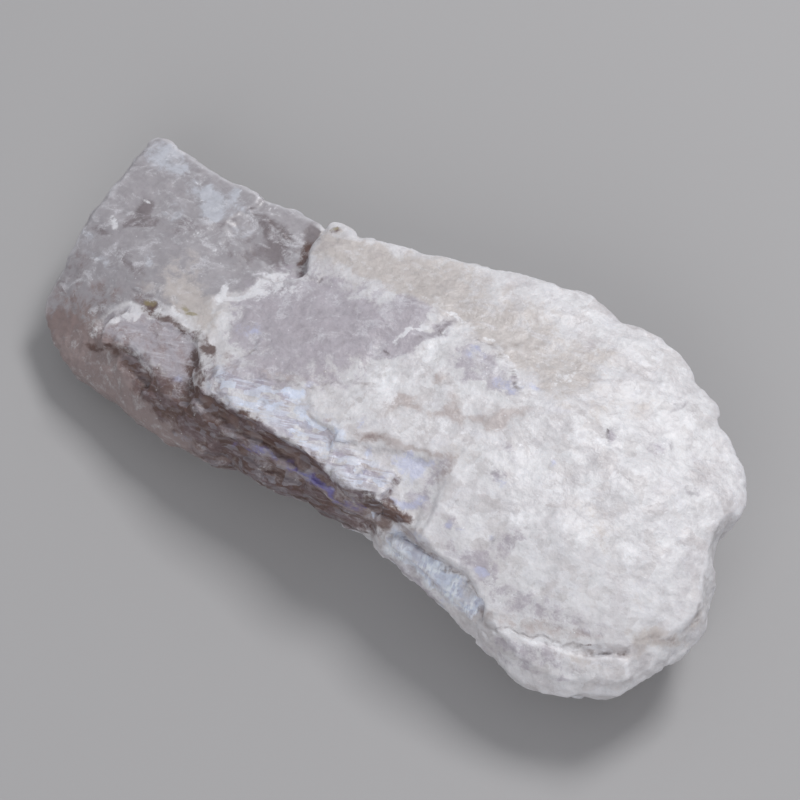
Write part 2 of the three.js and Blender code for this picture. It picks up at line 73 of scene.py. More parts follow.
# The surface mesh.
VOXEL = 0.272
FIRST_SMOOTHING = 2
LAST_SMOOTHING = 1
CLEARANCE_IN_BOX = 0.02
# The relief comes in between these heights, over the face that the stone rests on.
RESTING_BAND = (0.05, 0.9)
# Nothing stands further out than this from the surface smoothed in this many rounds.
FURTHEST_PROUD = 0.3
SURROUNDINGS_ROUNDS = 14
# Edges and crevices are told by how far they stand proud of the surface smoothed like this.
PROUD_ROUNDS = 8
PROUD_SHARE = 0.6

# How the edges of the layers run across the top, in degrees from the stone's length, and how
# much longer than wide their waves are.
TRACE_TURN = -22
TRACE_STRETCH = 0.3
# How the bars of the pearly rib run.
BARS_TURN = -8

# Outlines of zones, as seen places: the narrow translucent end, its small plate, the steep flank, brown
# with partly painted shade, and its lower rim, the pearly rib, and parts of the top.
ZONES = {
    "small_end": [
        (-40, 14), (-15.2, 14), (-14.9, 9), (-14.3, 7.5), (-14.1, 6.2), (-13.6, 5), (-12.7, 3.2),
        (-14.2, 2.3), (-14.9, 1.4), (-15.8, 0.2), (-16.2, -1.6), (-17.8, -2.6), (-18.4, -4.8),
        (-20.4, -6.4), (-22.2, -7.6), (-23.8, -8.4), (-24.8, -9.8), (-25.4, -12.6), (-28, -17),
        (-40, -17),
    ],
    "plate": [
        (-24.2, -9.6), (-22.9, -8.3), (-21.2, -8.5), (-18.5, -8.3), (-16.6, -8.2), (-15.6, -9.8),
        (-14.2, -12), (-13.5, -13), (-15.5, -13.3), (-17.5, -13), (-19, -12.7), (-20.2, -12.1),
        (-21.2, -12.2), (-24, -13.5), (-24.9, -12.5), (-24.8, -10.6),
    ],
    "flank": [
        (-21.6, -12.5), (-19.2, -12.9), (-14, -13.2), (-13.2, -12.1), (-8, -12), (-1, -12),
        (1, -12.5), (3.2, -13), (4.6, -12.6), (6.5, -12.1), (9.3, -12.3), (8.2, -13.2), (7.4, -15),
        (4.5, -17), (-1, -19), (-8, -18.6), (-9.5, -17.2), (-14.4, -16.2), (-18.2, -14.8),
        (-20.8, -13.4),
    ],
    "rim": [
        (-28.5, -12.4), (-26, -12.8), (-23, -13.2), (-21.4, -12.8), (-18.2, -14.6), (-14.4, -16),
        (-9.5, -17), (-4, -18.4), (-8, -21), (-30, -21),
    ],
    "rib": [
        (8.6, -13.2), (9.6, -13.8), (12, -13.8), (15.6, -13.9), (17.6, -14.2), (19.5, -15.7),
        (19.2, -17), (16, -16.4), (13, -16.2), (9.5, -15.9), (8.5, -15),
    ],
    "milky_left": [
        (-14.4, 5.2), (-12.4, 3.2), (-14.2, 2), (-15.2, 0.2), (-15.4, -2.4), (-13.6, -6.2),
        (-9, -7.2), (-4, -5.4), (-2, -3.2), (-1.8, 0), (-2, 3), (-0.8, 5.4), (-3, 6.6), (-8, 6),
    ],
    "back_band": [
        (-13.8, 9), (-13, 6.6), (-8, 6.2), (-3, 6.9), (5, 7), (10, 8), (12, 10.4), (9, 13.4),
        (0, 12), (-8, 10.6),
    ],
    "glitter": [
        (-13.5, -9.5), (-9.4, -8.2), (-5.2, -8.3), (-2, -8.2), (0.8, -9), (3, -9.5), (6, -9.5),
        (6, -12.4), (3, -12.8), (0, -12), (-8, -11.9), (-12.5, -11.8),
    ],
}

# How wide each zone's edge is for the tints, and what the zones add to each tint. The foot is the
# flank's lower part, which comes in between these depths on the sheet.
TINT_EDGES = {
    "small_end": 0.7, "plate": 0.3, "flank": 0.9, "rim": 0.9, "rib": 0.3, "milky_left": 2.6,
    "back_band": 1.6, "glitter": 0.9,
}
FOOT_DEPTHS = (13.6, 15.4)
ZONE_TINTS = {
    "clear": {"small_end": 1.0},
    "lilac": {"milky_left": 0.4, "plate": 0.9, "glitter": 0.32},
    "beige": {"back_band": 0.4},
    # Partly painted shade: the flank, its rim and the plate darkened, over some brown of the stone's own.
    "mauve_and_painted_shade": {"flank": 0.95, "rim": 0.85, "plate": 0.25},
    # Painted shade along the flank, darker still at its foot.
    "umber_and_painted_shade": {"flank": 0.26, "foot": 0.32},
    # Painted light that lightens the rib.
    "snow_and_painted_light": {"rib": 0.7},
    # Painted glints over the glitter zone, the rib and the flank.
    "glitter": {"glitter": 1.0, "rib": 0.7, "flank": 0.28},
}
PATCH_SHARES = {"umber_and_painted_shade": 0.8, "snow_and_painted_light": 0.85}
CREASE_SHARE = 0.5

# How wide each zone's edge is for the relief, and how strongly the layers, the flat chips and the
# ragged edges show: everywhere, and what each zone and the hidden sides add.
RELIEF_EDGES = {"small_end": 1.5, "plate": 0.5, "flank": 0.6, "rib": 0.4, "glitter": 0.6}
RELIEF = {
    "broad_steps": {
        "all": 0.1, "flank": 0.75, "plate": 0.1, "glitter": 0.3, "hidden": 0.4, "small_end": -0.06,
    },
    "steep_steps": {
        "all": 0.16, "flank": 0.2, "plate": 0.3, "glitter": 0.5, "hidden": 0.3, "small_end": -0.12,
    },
    "cross_steps": {
        "all": 0.06, "flank": 0.25, "rib": 0.5, "glitter": 0.4, "hidden": 0.2, "small_end": -0.04,
    },
    "facets": {"all": 0.22, "flank": 0.5, "plate": 0.2, "hidden": 0.78, "small_end": -0.1},
    "raggedness": {"all": 0.8, "glitter": 0.9, "flank": 0.5, "hidden": 0.3},
}

# Tints on the sides that the photograph doesn't show, as slow unevenness: the size of its waves,
# their seed, where it starts and is full, and its strength. Flashes, pearly patches, glitter and bars
# are painted sheen and glints there too.
HIDDEN_TINTS = {
    "lilac": [(9, 42, -0.2, 0.9, 0.45), (3.5, 43, 0.2, 1, 0.3)],
    "beige": [(8, 44, 0, 1, 0.6)],
    "smoke": [(4, 45, 0.1, 1, 0.5)],
    "cloud": [(5, 46, 0.4, 1.1, 1)],
    "tan": [(5, 47, 0.45, 1.2, 0.6)],
    "snow_and_painted_light": [(4, 48, 0.3, 1.2, 0.7)],
    "flash": [(5.5, 49, 0.75, 1.3, 0.4)],
    "pearl_sheen": [(4.5, 50, 0.8, 1.4, 0.6)],
    "mauve_and_painted_shade": [(7, 52, 0.3, 1.2, 0.35)],
    "glitter": [(6, 53, 0.5, 1.2, 0.5)],
    "bars": [(7, 54, 0.5, 1.2, 0.4)],
}

# Places where the layers end in a worn slope, as seen places: x, y, half length, half width,
# turn in degrees and strength.
WORN_SLOPES = [(9.2, -7.4, 1.5, 2.6, 5, 1.3), (6.6, -6.2, 2.6, 0.7, 20, 0.7), (2.0, -7.6, 2.0, 0.8, 22, 0.6)]
WORN_ROUNDS = 40
# The foot of the walls is worn too, up to this height, and the hidden sides a little.
WORN_FOOT = 3.2
FOOT_WEAR = 0.7
HIDDEN_WEAR = 0.25

# Patches of each tint, as seen places: x, y, half its length, half its width, turn in degrees
# and strength.
PATCHES = {
    "lilac": [
        (-10.5, -1, 5.2, 3.6, 10, 0.85), (-12.5, -3.4, 2.6, 2.4, 60, 0.7), (-6, 0.6, 4, 2, 20, 0.6),
        (-2.6, 5.2, 1.7, 1.6, 80, 0.95), (-2.6, 2.6, 1.2, 1.8, 0, 0.7), (0.7, 5, 0.5, 1.9, -22, 1.25),
        (-0.2, 3.3, 0.35, 1.2, -20, 0.9), (-1.2, 1.4, 0.6, 1.1, -30, 1), (4.6, 3.9, 1.9, 1.5, 10, 0.62),
        (7.6, 4.6, 2, 1.1, -20, 0.6), (7.4, 3.2, 2.4, 0.9, 10, 0.5), (-8.8, -6.8, 2.6, 1.2, 20, 0.6),
        (-10.5, -8.6, 3, 1.2, 10, 0.55), (8.9, -7.4, 0.7, 2.4, 5, 0.5), (17.8, -8.6, 1.3, 1.2, 0, 0.5),
        (17, -11.4, 1.6, 1.3, 0, 0.45), (13.4, -4.2, 0.5, 1, -15, 0.6), (26.5, 0.9, 1.2, 1.2, 0, 0.3),
        (22, -13.2, 3.6, 1.2, 20, 0.55), (27, -12.4, 2.2, 0.9, 25, 0.45), (16, -12.6, 3, 0.9, -4, 0.6),
        (25.5, -16.9, 4.2, 1.3, 15, 0.55), (12.6, -16.8, 3.4, 0.5, -6, 0.9), (33.2, 2.6, 0.7, 2, 15, 0.4),
        (19.3, 5, 0.3, 0.9, 15, 0.8), (23.2, 6, 1.4, 0.8, 40, 0.35), (27.8, 4.2, 1.2, 0.7, 20, 0.35),
        (12.6, 11.2, 0.5, 1.5, -8, 0.5), (-7, 9, 2.2, 0.9, 14, 0.35), (-17.2, -10.9, 3.4, 1.5, 0, 0.75),
        (-20.5, -10.4, 1.8, 1.3, 20, 0.45), (4.4, -10.9, 1.6, 1.4, 0, 0.35),
        (9.2, -10.2, 1.6, 1.4, 0, 0.45), (13, -10.6, 1.2, 1, 0, 0.45), (20.6, -5.4, 1.2, 0.9, 0, 0.2),
        (13.9, -7, 1.1, 1.3, 0, 0.25), (12.8, -1.4, 1.4, 0.8, 20, 0.3),
    ],
    "clear": [
        (-24.2, -6.6, 2.6, 1.3, -10, 0.6), (-20.4, -6.4, 2.4, 1, -8, 0.4), (-2.8, 5.9, 1.1, 0.8, 20, 0.5),
        (18, -9, 0.9, 0.9, 0, 0.45), (16.6, -9.6, 0.25, 0.5, 20, 0.7), (22.6, 10.5, 0.35, 1.2, -15, 0.6),
        (24.4, 6.8, 0.6, 0.35, -50, 0.6), (28, 4.1, 0.5, 0.25, 20, 0.7), (19, 4.9, 0.22, 0.7, 10, 1),
        (13.2, -4.3, 0.2, 0.6, -10, 0.7), (6.5, 1, 0.3, 0.6, 30, 0.5), (17.2, -12.4, 0.8, 0.3, 20, 0.6),
        (31.5, 7.4, 0.7, 0.3, -50, 0.5), (21.4, 2.2, 0.5, 0.25, 80, 0.3),
    ],
    "smoke": [
        (-17.6, 5.1, 2.2, 0.8, -12, 1), (-16.4, 3.8, 1.6, 0.9, -50, 0.8), (-14.7, 6.9, 0.45, 1.8, 12, 1.3),
        (-18.3, 1.8, 2.6, 2, 30, 0.45), (-29, 0, 0.7, 1.4, 10, 0.8), (-28, -0.8, 1.2, 0.9, 30, 0.6),
        (-29.1, -1.4, 0.5, 0.8, 0, 0.9), (-30.8, -3.8, 1.2, 0.8, 0, 0.55), (-26.2, -5.2, 2.2, 1, -10, 0.5),
        (-25, 1, 1.6, 1.6, 0, 0.4), (-22.6, -7.4, 1.6, 0.9, 10, 0.5), (-32, 6, 0.5, 0.5, 0, 0.5),
        (-22.2, 3.5, 1.3, 2, 10, 0.35), (-30.2, -9, 1.6, 3, 15, 0.35), (-26, -10.5, 1.4, 2.2, 20, 0.35),
        (-20.7, 6.1, 0.3, 0.1, 0, 1.2), (-1.8, 0.6, 0.25, 0.15, 0, 1), (0.6, 5, 0.5, 2, -22, 0.6),
    ],
    "beige": [
        (-8.5, 7.2, 4.6, 1.5, 12, 0.8), (-1, 8.6, 6.5, 1.2, 8, 0.85), (6.5, 8.2, 4.5, 1.6, 5, 0.7),
        (-2, 11, 3.4, 1, 22, 0.45), (13.6, 9.2, 1.8, 3.4, -5, 0.75), (10.4, 7, 3, 1.3, -10, 0.6),
        (-21.8, -2.8, 2.6, 2.6, 30, 0.32), (-19.4, -5.2, 2.4, 1.2, -14, 0.75),
        (-22.4, -6, 3, 1.5, -10, 0.3), (-17.4, -5.8, 2, 1.4, -30, 0.45), (22.5, -2.6, 2.4, 1.2, -10, 0.4),
        (24.4, -4.5, 1.8, 1.4, 0, 0.35), (30.2, -7, 1.4, 1.8, 0, 0.3), (33, -9.6, 1.8, 0.8, 30, 0.75),
        (32.4, -11, 0.8, 1.6, -20, 0.6), (27.2, -9.6, 1.6, 1, 0, 0.25), (-12.5, 6.6, 1.4, 2, 0, 0.3),
        (17, 6.4, 1, 3, -10, 0.35), (9.8, -4, 2.6, 1, 15, 0.4), (35.2, -6.5, 0.7, 2.2, 5, 0.55),
        (29, -15, 2.8, 0.8, 15, 0.4), (20, 9, 1.4, 2.6, -10, 0.3),
    ],
    "tan": [
        (10.4, 0.9, 1.5, 1, 55, 0.95), (8.7, -0.6, 1.9, 0.5, 22, 0.8), (6.1, -0.5, 0.6, 1.2, 25, 0.8),
        (7.1, -1.4, 0.9, 0.5, -30, 0.7), (4.6, -2.4, 1.8, 0.5, 20, 0.75), (2.3, -3, 1.4, 0.8, 30, 0.8),
        (11.8, 2.5, 1.3, 0.5, 30, 0.6), (1.6, -4.4, 0.5, 0.6, 0, 0.5), (3.6, 0.5, 0.5, 1.3, 10, 0.5),
        (2.6, -7.2, 2.2, 0.5, 22, 0.95), (6.4, -6, 2.6, 0.35, 22, 0.85), (9.3, -6.3, 0.35, 1.3, 10, 0.5),
        (3.6, -9.7, 1.6, 0.3, -4, 0.9), (-7.5, -6.6, 2.4, 0.35, 22, 0.6), (-3.8, -8.4, 1.8, 0.35, 10, 0.6),
        (10.2, -13, 1.4, 0.5, 20, 0.7), (8.3, -14, 0.45, 1.5, 0, 0.7), (25, -14, 3.4, 0.6, 22, 0.75),
        (22.2, -3.3, 0.9, 0.5, 20, 0.35), (33.6, -9.2, 1.2, 0.4, 30, 0.5), (19.9, -16.4, 1, 0.9, 10, 0.6),
        (-13, -8.6, 1.4, 0.8, -40, 0.5), (-4.4, 12, 2, 0.5, 20, 0.3), (-26.5, -13, 2.6, 1.6, 10, 0.6),
    ],
    "snow_and_painted_light": [
        (-15.3, -1.5, 0.5, 1.4, -35, 0.85), (-15.4, 0.3, 1, 1.5, -30, 0.38),
        (-17.4, -3.3, 0.4, 1.1, 20, 0.9), (-16.4, -2.7, 1, 0.35, 25, 0.7), (-13.2, 0.9, 2, 1.2, 10, 0.45),
        (-19.2, -7, 1.7, 0.4, -2, 0.7), (1.7, 3.2, 0.7, 3.2, 4, 0.75), (-1.7, 3.1, 0.18, 1, -5, 0.9),
        (-0.6, 4.6, 0.2, 0.7, -5, 0.8), (-1.1, -1.4, 1.2, 2.2, -10, 0.5), (0.6, -3.2, 1.2, 2.2, 30, 0.5),
        (5.6, -3.9, 1.6, 1.5, 40, 0.5), (8.9, -1.9, 2.2, 0.5, 20, 0.4), (-12.4, 4.6, 1.3, 1.4, 0, 0.3),
        (14.2, -8.4, 1.4, 1.1, 0, 0.25), (16.8, -6.6, 1.2, 1, 30, 0.55), (12.6, 8, 0.5, 2.8, -6, 0.5),
        (18.8, 3.6, 0.8, 0.4, 0, 0.55), (21, -1.2, 1.2, 0.9, 0, 0.35), (27.4, -4.6, 0.9, 0.8, 0, 0.4),
        (24.8, 4.4, 0.9, 0.8, 0, 0.3), (-22.9, -9, 0.8, 1.1, -25, 0.9), (-24, -10.5, 0.7, 1.4, -10, 0.45),
        (-24.4, -12.6, 0.6, 0.9, 0, 0.4), (-17, -12.4, 2.2, 0.6, 0, 0.35), (-23.2, 0.9, 0.15, 0.4, 0, 0.8),
        (-20.8, 0.4, 0.3, 0.25, 0, 0.7), (-29.4, 0.9, 0.25, 0.15, 30, 0.8),
        (-30.2, -2.6, 1, 0.25, -15, 0.6), (-29.2, -6.6, 0.9, 0.4, 0, 0.5), (-26.4, 5.3, 0.5, 0.2, 0, 0.6),
        (-25.2, 4.1, 0.3, 0.15, -20, 0.8), (-28.3, 4.1, 0.5, 0.15, 0, 0.5),
        (-31.3, -4.9, 0.6, 0.25, 0, 0.6), (-20.6, 7, 2.6, 0.5, 3, 0.5), (-25.2, -3.9, 0.6, 0.9, 40, 0.3),
        (24, -16, 3, 0.5, 22, 0.45), (29.6, -13.6, 1.6, 0.6, 28, 0.4), (20.9, -17.6, 0.7, 0.3, 0, 0.8),
        (16.5, 3, 3, 4, 0, 0.12), (30, 0, 3, 4, 0, 0.15), (10.6, 12.8, 0.6, 0.8, 40, 0.4),
    ],
    "cloud": [
        (-24.2, 4.6, 1.5, 1.1, -25, 1.1), (-23.6, 3.3, 0.9, 0.8, 0, 0.8), (-23, 6.6, 0.6, 0.5, 0, 0.8),
        (-26.4, 4.6, 1, 0.7, 0, 0.45), (-20.2, 3.4, 1, 0.7, 20, 0.4), (-29.4, 5.6, 2.6, 1, 0, 0.35),
        (-26.4, 1.6, 1.2, 1.4, 0, 0.35), (-25, -4, 1.1, 0.5, -40, 0.6), (-29, -6.4, 1.6, 0.6, 0, 0.5),
        (-31.4, -5, 0.8, 0.6, 0, 0.6), (-30.8, 6.6, 2, 1.8, 0, 0.6), (-21.4, 5.6, 1.6, 0.6, -8, 0.5),
        (-12.8, -9.9, 0.9, 0.5, 0, 0.8),
    ],
    # Partly painted shade: the small end's sloping shoulder, ledges and the flank darkened.
    "mauve_and_painted_shade": [
        (-28.6, -12, 3.6, 2.2, 20, 0.4), (-26, -8.8, 1.5, 1.3, 0, 0.35), (-31.5, -8, 2, 1.6, 30, 0.3),
        (-13.2, -9.8, 0.8, 1.6, 30, 0.5), (8.8, -12.4, 1.2, 0.5, 10, 0.6), (2.4, -7.4, 2, 0.4, 22, 0.4),
        (-2.6, -13.5, 3.4, 0.7, -6, 0.9), (-22.8, -7.8, 1.6, 0.5, -35, 0.5), (9, -14.6, 0.4, 1, 0, 0.6),
        (-23.6, -13, 1.8, 0.9, 0, 0.6), (13, -13.7, 3, 0.25, -4, 0.5),
    ],
    # Blue flashes of painted sheen.
    "flash": [
        (6, -7.5, 1.3, 0.7, 20, 0.95), (7.3, -8, 0.7, 1.2, 0, 0.8), (7.6, -6.6, 0.8, 0.3, 20, 0.5),
        (2.5, -8.7, 0.5, 0.35, -35, 0.85), (3.4, -10.6, 0.5, 0.8, -20, 0.45),
        (5.3, -9.9, 0.7, 0.3, 15, 0.5), (8.2, -11.2, 1.2, 0.4, 20, 0.8), (9.2, -10, 0.5, 0.5, 0, 0.5),
        (-12.8, -10, 0.6, 0.35, 10, 0.5), (-15.4, -12.3, 0.5, 0.6, -30, 0.95),
        (-12.9, -4.6, 1.1, 0.8, 0, 0.5), (4.7, 5, 0.9, 0.8, 0, 0.5), (8.8, 3.7, 1.2, 0.6, 10, 0.55),
        (10.8, 5, 0.9, 0.3, 20, 0.55), (17.5, -12.7, 0.5, 0.35, 0, 0.75), (13.2, -10.6, 0.9, 0.4, 10, 0.5),
        (16.3, -0.7, 0.4, 0.9, -15, 0.5), (13.8, -4.6, 0.5, 0.4, 0, 0.5), (11.2, -13.1, 0.9, 0.3, 0, 0.7),
        (16.4, -17, 0.5, 0.5, 0, 0.6), (18.5, -16.1, 0.8, 0.4, 0, 0.9), (-5.6, -5.9, 0.6, 0.25, 20, 0.7),
        (16.5, -9.2, 0.35, 0.5, 0, 0.4), (0.3, -6.8, 0.6, 0.5, 0, 0.4), (14.4, 4.6, 0.6, 0.6, 0, 0.2),
    ],
    # Pale blue pearly patches of painted sheen, lightest over the rib.
    "pearl_sheen": [
        (-5.8, -7.8, 0.75, 0.65, 10, 1.3), (-6.9, -8, 0.7, 0.35, 10, 0.6), (-3.9, -9.4, 0.9, 0.5, 20, 0.7),
        (-3.2, -10.8, 1, 0.7, 40, 0.6), (-0.6, -8.9, 0.8, 0.5, 0, 0.6), (-9.2, -11.4, 0.7, 0.3, 20, 0.7),
        (-1, -11.4, 0.7, 0.35, 20, 0.6), (-7, -9.8, 0.8, 0.5, 30, 0.5), (11.8, -14.6, 2.4, 0.6, -3, 1.2),
        (15.8, -15.2, 1.7, 0.6, -8, 1.2), (18.7, -15.8, 0.8, 0.6, 30, 1.2), (14, -16, 3.4, 0.3, -6, 0.4),
        (7, -13.6, 0.35, 0.3, 0, 1), (0.9, -12.1, 0.4, 0.25, 0, 0.6), (-2.3, -15.9, 0.4, 0.3, 0, 0.5),
        (10.2, -14, 0.7, 0.3, 0, 0.7), (-11.3, -16.8, 1.6, 0.55, 5, 0.35), (-12.6, -9.9, 0.6, 0.4, 0, 0.5),
        (-13.8, -8.6, 0.4, 0.4, -40, 0.5), (2.4, -8.8, 0.35, 0.3, -35, 0.5),
    ],
    # Purple-blue flashes of painted sheen along the flank's ledge.
    "violet_sheen": [
        (1.2, -13.8, 0.95, 0.3, 4, 1.2), (2.6, -14.1, 1.4, 0.3, 0, 0.8), (-1, -13.9, 1.3, 0.25, 4, 0.9),
        (-4.2, -13.8, 1.6, 0.2, 8, 0.6), (4.8, -13.6, 1, 0.4, 0, 0.45), (-5.8, -14.5, 1.6, 0.25, 14, 0.35),
    ],
    # Dark brown marks, partly painted shade under the top's edge, on walls and in the notch.
    "umber_and_painted_shade": [
        (-6, -12.6, 8.5, 0.55, 0, 1.15), (6.8, -12.5, 2.6, 0.5, 4, 1.1), (-11, -12.9, 2.2, 0.6, -6, 0.9),
        (-14.9, -10.4, 0.65, 2.6, 32, 1.4), (-19.4, -8.1, 2.6, 0.34, 2, 1.3),
        (-15.2, -8.2, 0.9, 0.35, -30, 0.8), (-13.8, 4.3, 0.35, 1.3, 28, 1.4),
        (-14.5, 5.2, 0.4, 0.5, 0, 0.7), (-20, -13.4, 0.8, 0.8, 0, 1.2), (-22.9, -13.7, 1.5, 0.35, 26, 1),
        (0.4, -15.3, 1.1, 0.5, 0, 1.4), (-9, -15, 2.4, 0.35, -8, 0.9), (-14, -14.4, 4.4, 0.8, -8, 1),
        (-6, -16, 2.8, 0.3, -4, 0.9), (-22.2, -7.4, 0.7, 0.3, -40, 0.6), (-15.6, -15.5, 2.6, 0.5, -20, 0.7),
        (6.3, -10.4, 0.3, 1.5, 4, 0.55), (2.6, -14.7, 1.8, 0.25, 4, 0.6), (-3, -13.2, 2.4, 0.2, 4, 0.7),
        (-7, -14.2, 1.6, 0.2, 12, 0.6), (8.8, -12.7, 0.9, 0.3, 10, 0.8), (28.6, -13.4, 0.7, 0.15, 25, 0.9),
        (-13, 8.65, 0.25, 0.22, 0, 0.9), (14.6, -13.9, 1.6, 0.15, -3, 0.5),
        (-20.9, -12.6, 0.5, 0.3, 0, 0.7),
    ],
    "olive": [
        (-18.7, -6.15, 0.8, 0.16, -18, 1.3), (-22.4, -7.3, 0.5, 0.25, -30, 0.9),
        (-13, 8.7, 0.3, 0.15, 40, 0.7), (-4.7, -4.3, 0.25, 0.2, 0, 0.4), (-21.7, -6.9, 0.3, 0.2, 0, 0.6),
    ],
}

# Fine lines, as seen places: the line, its half width and its strength.
LINES = {
    "creases": [
        ([(-14, 2.2), (-15, 1), (-15.6, -0.8), (-15.2, -1.5), (-16.2, -2.7), (-17.2, -3.1)], 0.16, 0.9),
        ([(-17.8, -2.4), (-17.4, -3.2), (-16.9, -4.1)], 0.16, 0.8),
        ([(-1.9, 1.8), (-1.8, 2.9), (-1.4, 3.6), (-0.6, 4.1), (-0.5, 4.9)], 0.11, 0.9),
        ([(-4.6, 7.4), (-2.5, 7.3), (1.5, 7), (4.4, 6.9), (7, 6.6), (8.8, 5.6), (10.2, 4.4)], 0.12, 0.95),
        ([(-26.2, 5.2), (-25.4, 4.2), (-24.4, 3.6), (-23.8, 2.7), (-22.9, 2.6)], 0.1, 0.5),
        ([(7.6, -1.9), (9.4, -0.9), (11, -0.2)], 0.14, 0.5),
        ([(-24, -8.9), (-23, -8.2), (-21.4, -8.6), (-19, -8.6), (-16.7, -8.35)], 0.1, 0.5),
        ([(20.6, -16.9), (23.2, -16.1), (26, -14.9), (28.4, -13.9), (30.2, -12.5)], 0.14, 0.6),
        ([(3.6, -7.2), (6, -6.5), (7.6, -5.95)], 0.1, 0.6),
        ([(11.6, 11), (11.8, 9), (12.6, 7)], 0.12, 0.4),
    ],
    "fissures": [
        ([(-12.7, 3.1), (-11.6, 3.2), (-10.9, 3.5)], 0.12, 0.8),
        ([(-21, 6.1), (-20.4, 6), (-18.4, 5.85), (-17, 5.5), (-16.3, 5.35), (-15.5, 5.45)], 0.11, 0.85),
        ([(3.6, 6.6), (7, 6.3), (8.7, 5.4), (9.9, 4.2)], 0.08, 0.6),
        ([(9.4, 4.7), (10, 4.1)], 0.08, 1.2),
        ([(3.6, -9.8), (3.5, -11.2), (3.55, -12.4)], 0.1, 0.6),
        ([(-9.6, -7.9), (-7.4, -7), (-5.2, -6.2)], 0.12, 0.6),
        ([(-5, -5.6), (-3.4, -4.3), (-1.6, -3.4)], 0.1, 0.45),
        ([(-24.6, -7.5), (-23.4, -6.9), (-22.2, -6.7)], 0.12, 0.6),
        ([(-22.8, -12.6), (-21, -12)], 0.1, 0.6),
        ([(-19.4, 5.2), (-16.9, 5), (-16.4, 4.6)], 0.08, 0.5),
        ([(18.9, 5.6), (18.9, 4.7), (19.3, 4)], 0.08, 0.8),
        ([(20.4, -16.6), (23, -15.8), (26, -14.6), (28.4, -13.7)], 0.12, 0.6),
        ([(31.6, -11.8), (32, -10.4), (33, -9.5), (34.3, -8.7)], 0.1, 0.5),
        ([(34.7, -7.8), (34.9, -6), (34.7, -4.4)], 0.1, 0.5),
        ([(6.2, 7), (6.9, 6.6), (7.2, 6)], 0.08, 0.4),
        ([(9.6, -13.9), (12.4, -13.9), (14.4, -14.15), (16.2, -14)], 0.1, 0.7),
    ],
}

# Sockets are numbers unless their names say otherwise.
SOCKET_KINDS = {"Geometry": "NodeSocketGeometry", "Material": "NodeSocketMaterial"}
# The broken surface: its ragged edges, steps, chips, lumps, pits and grain.
BROKEN_SURFACE = {
    "Wander size": 1.7,
    "Wander": 0.5,
    "Broad step": 1.0,
    "Steep step": 1.3,
    "Cross step": 1.15,
    "Chip size": 3.4,
    "Chip tilt": 0.34,
    "Lump size": 4.6,
    "Lump height": 0.22,
    "Pit size": 1.1,
    "Pit height": 0.09,
    "Grain size": 0.6,
    "Grain height": 0.05,
}
# The sets of cleavage layers: the direction across them, their step, their field and their seed.
LAYER_SETS = [
    (Vector((0.05, 0.22, 0.97)).normalized(), "Broad step", "broad_steps", 11.0),
    (Vector((-0.37, 0.92, 0.12)).normalized(), "Steep step", "steep_steps", 23.0),
    (Vector((0.985, 0.14, -0.08)).normalized(), "Cross step", "cross_steps", 37.0),
]
# The edge of a step wanders this far to either side, in waves this long.
STEP_WANDER = 1.5
STEP_WANDER_SIZE = 3.6
# The part of a step's height over which its riser stands.
STEP_RISER = (0.36, 0.64)
# Steps show only where noise of this size is high enough.
STEP_SPREAD_SIZE = 2.6
STEP_SPREAD = (0.36, 0.58)

# The patterns inside the stone and its fine relief.
MILKINESS = {
    "Cloud size": 3.0,
    "Edge size": 1.3,
    "Veil size": 1.9,
    "Vein width": 0.028,
    "Flake size": 1.2,
    "Flake bend": 2.6,
    "Block size": 0.9,
}
CLEAVAGE_GRAIN = {"Streak size": 0.7, "Bar size": 0.8, "Sugar size": 0.55}
SPECKS_PER_MM = 1.9
CELLS_WITHOUT_SPECK = 0.86
SPECK_EDGE = (0.16, 0.05)
# The edges of the tints' masks; the middle is where a mask is half there.
RAGGED_EDGE = {"Amount": 0.5, "Noise": 0.5, "Raggedness": 0.8, "Softness": 0.3, "Middle": 0.45}
# How patterns are squeezed along, across and up the cleavage trace; less is longer.
VEIL_STRETCH = (0.7, 1.1, 1.1)
BLOCK_STRETCH = (0.75, 1.5, 1.5)
STREAK_STRETCH = (0.16, 1.5, 2.4)
BAR_STRETCH = (2.2, 0.3, 0.8)
# The last mottling: the share of sugary grain in it, its values and the shades they give.
MOTTLE_SUGAR = 0.4
MOTTLE_VALUES = (0.35, 1.05)
MOTTLE_SHADES = (0.78, 1.21)

ROUGHNESS = 0.34
CLOUDY_ROUGHNESS = 0.26
SPECK_GLOSS = 0.2
GLASSY_GLOSS = 0.12
GLASSY_LIMITS = (0.2, 1.0)

# Each soft light: its direction from the stone, its distance and size in metres, its watts.
SOFT_LIGHTS = {
    "key": ((0.12, 0.6, 1.0), 0.42, 0.13, 1.0),
    "fill": ((0.4, -0.9, 0.7), 0.5, 0.35, 0.75),
}
SURROUNDINGS_COLOUR = (0.95, 0.96, 1.0, 1)
SURROUNDINGS_STRENGTH = 0.4


def tone(red, green, blue):
    """A colour given as it looks on a screen, 0 to 255, as Blender's linear colour."""
    linear = [((v / 255 + 0.055) / 1.055) ** 2.4 for v in (red, green, blue)]
    return (*linear, 1.0)


# The milky body: light goes through it just under the surface, and it has a thin gloss.
BODY_TONE = tone(217, 216, 219)
BODY_SHADE = tone(203, 200, 203)
BODY_SHADING = {
    "IOR": 1.52,
    "Subsurface Weight": 0.4,
    "Subsurface Radius": (1.0, 0.92, 0.9),
    "Subsurface Scale": 0.8 * MM,
    "Coat Weight": 0.1,
    "Coat Roughness": 0.25,
}

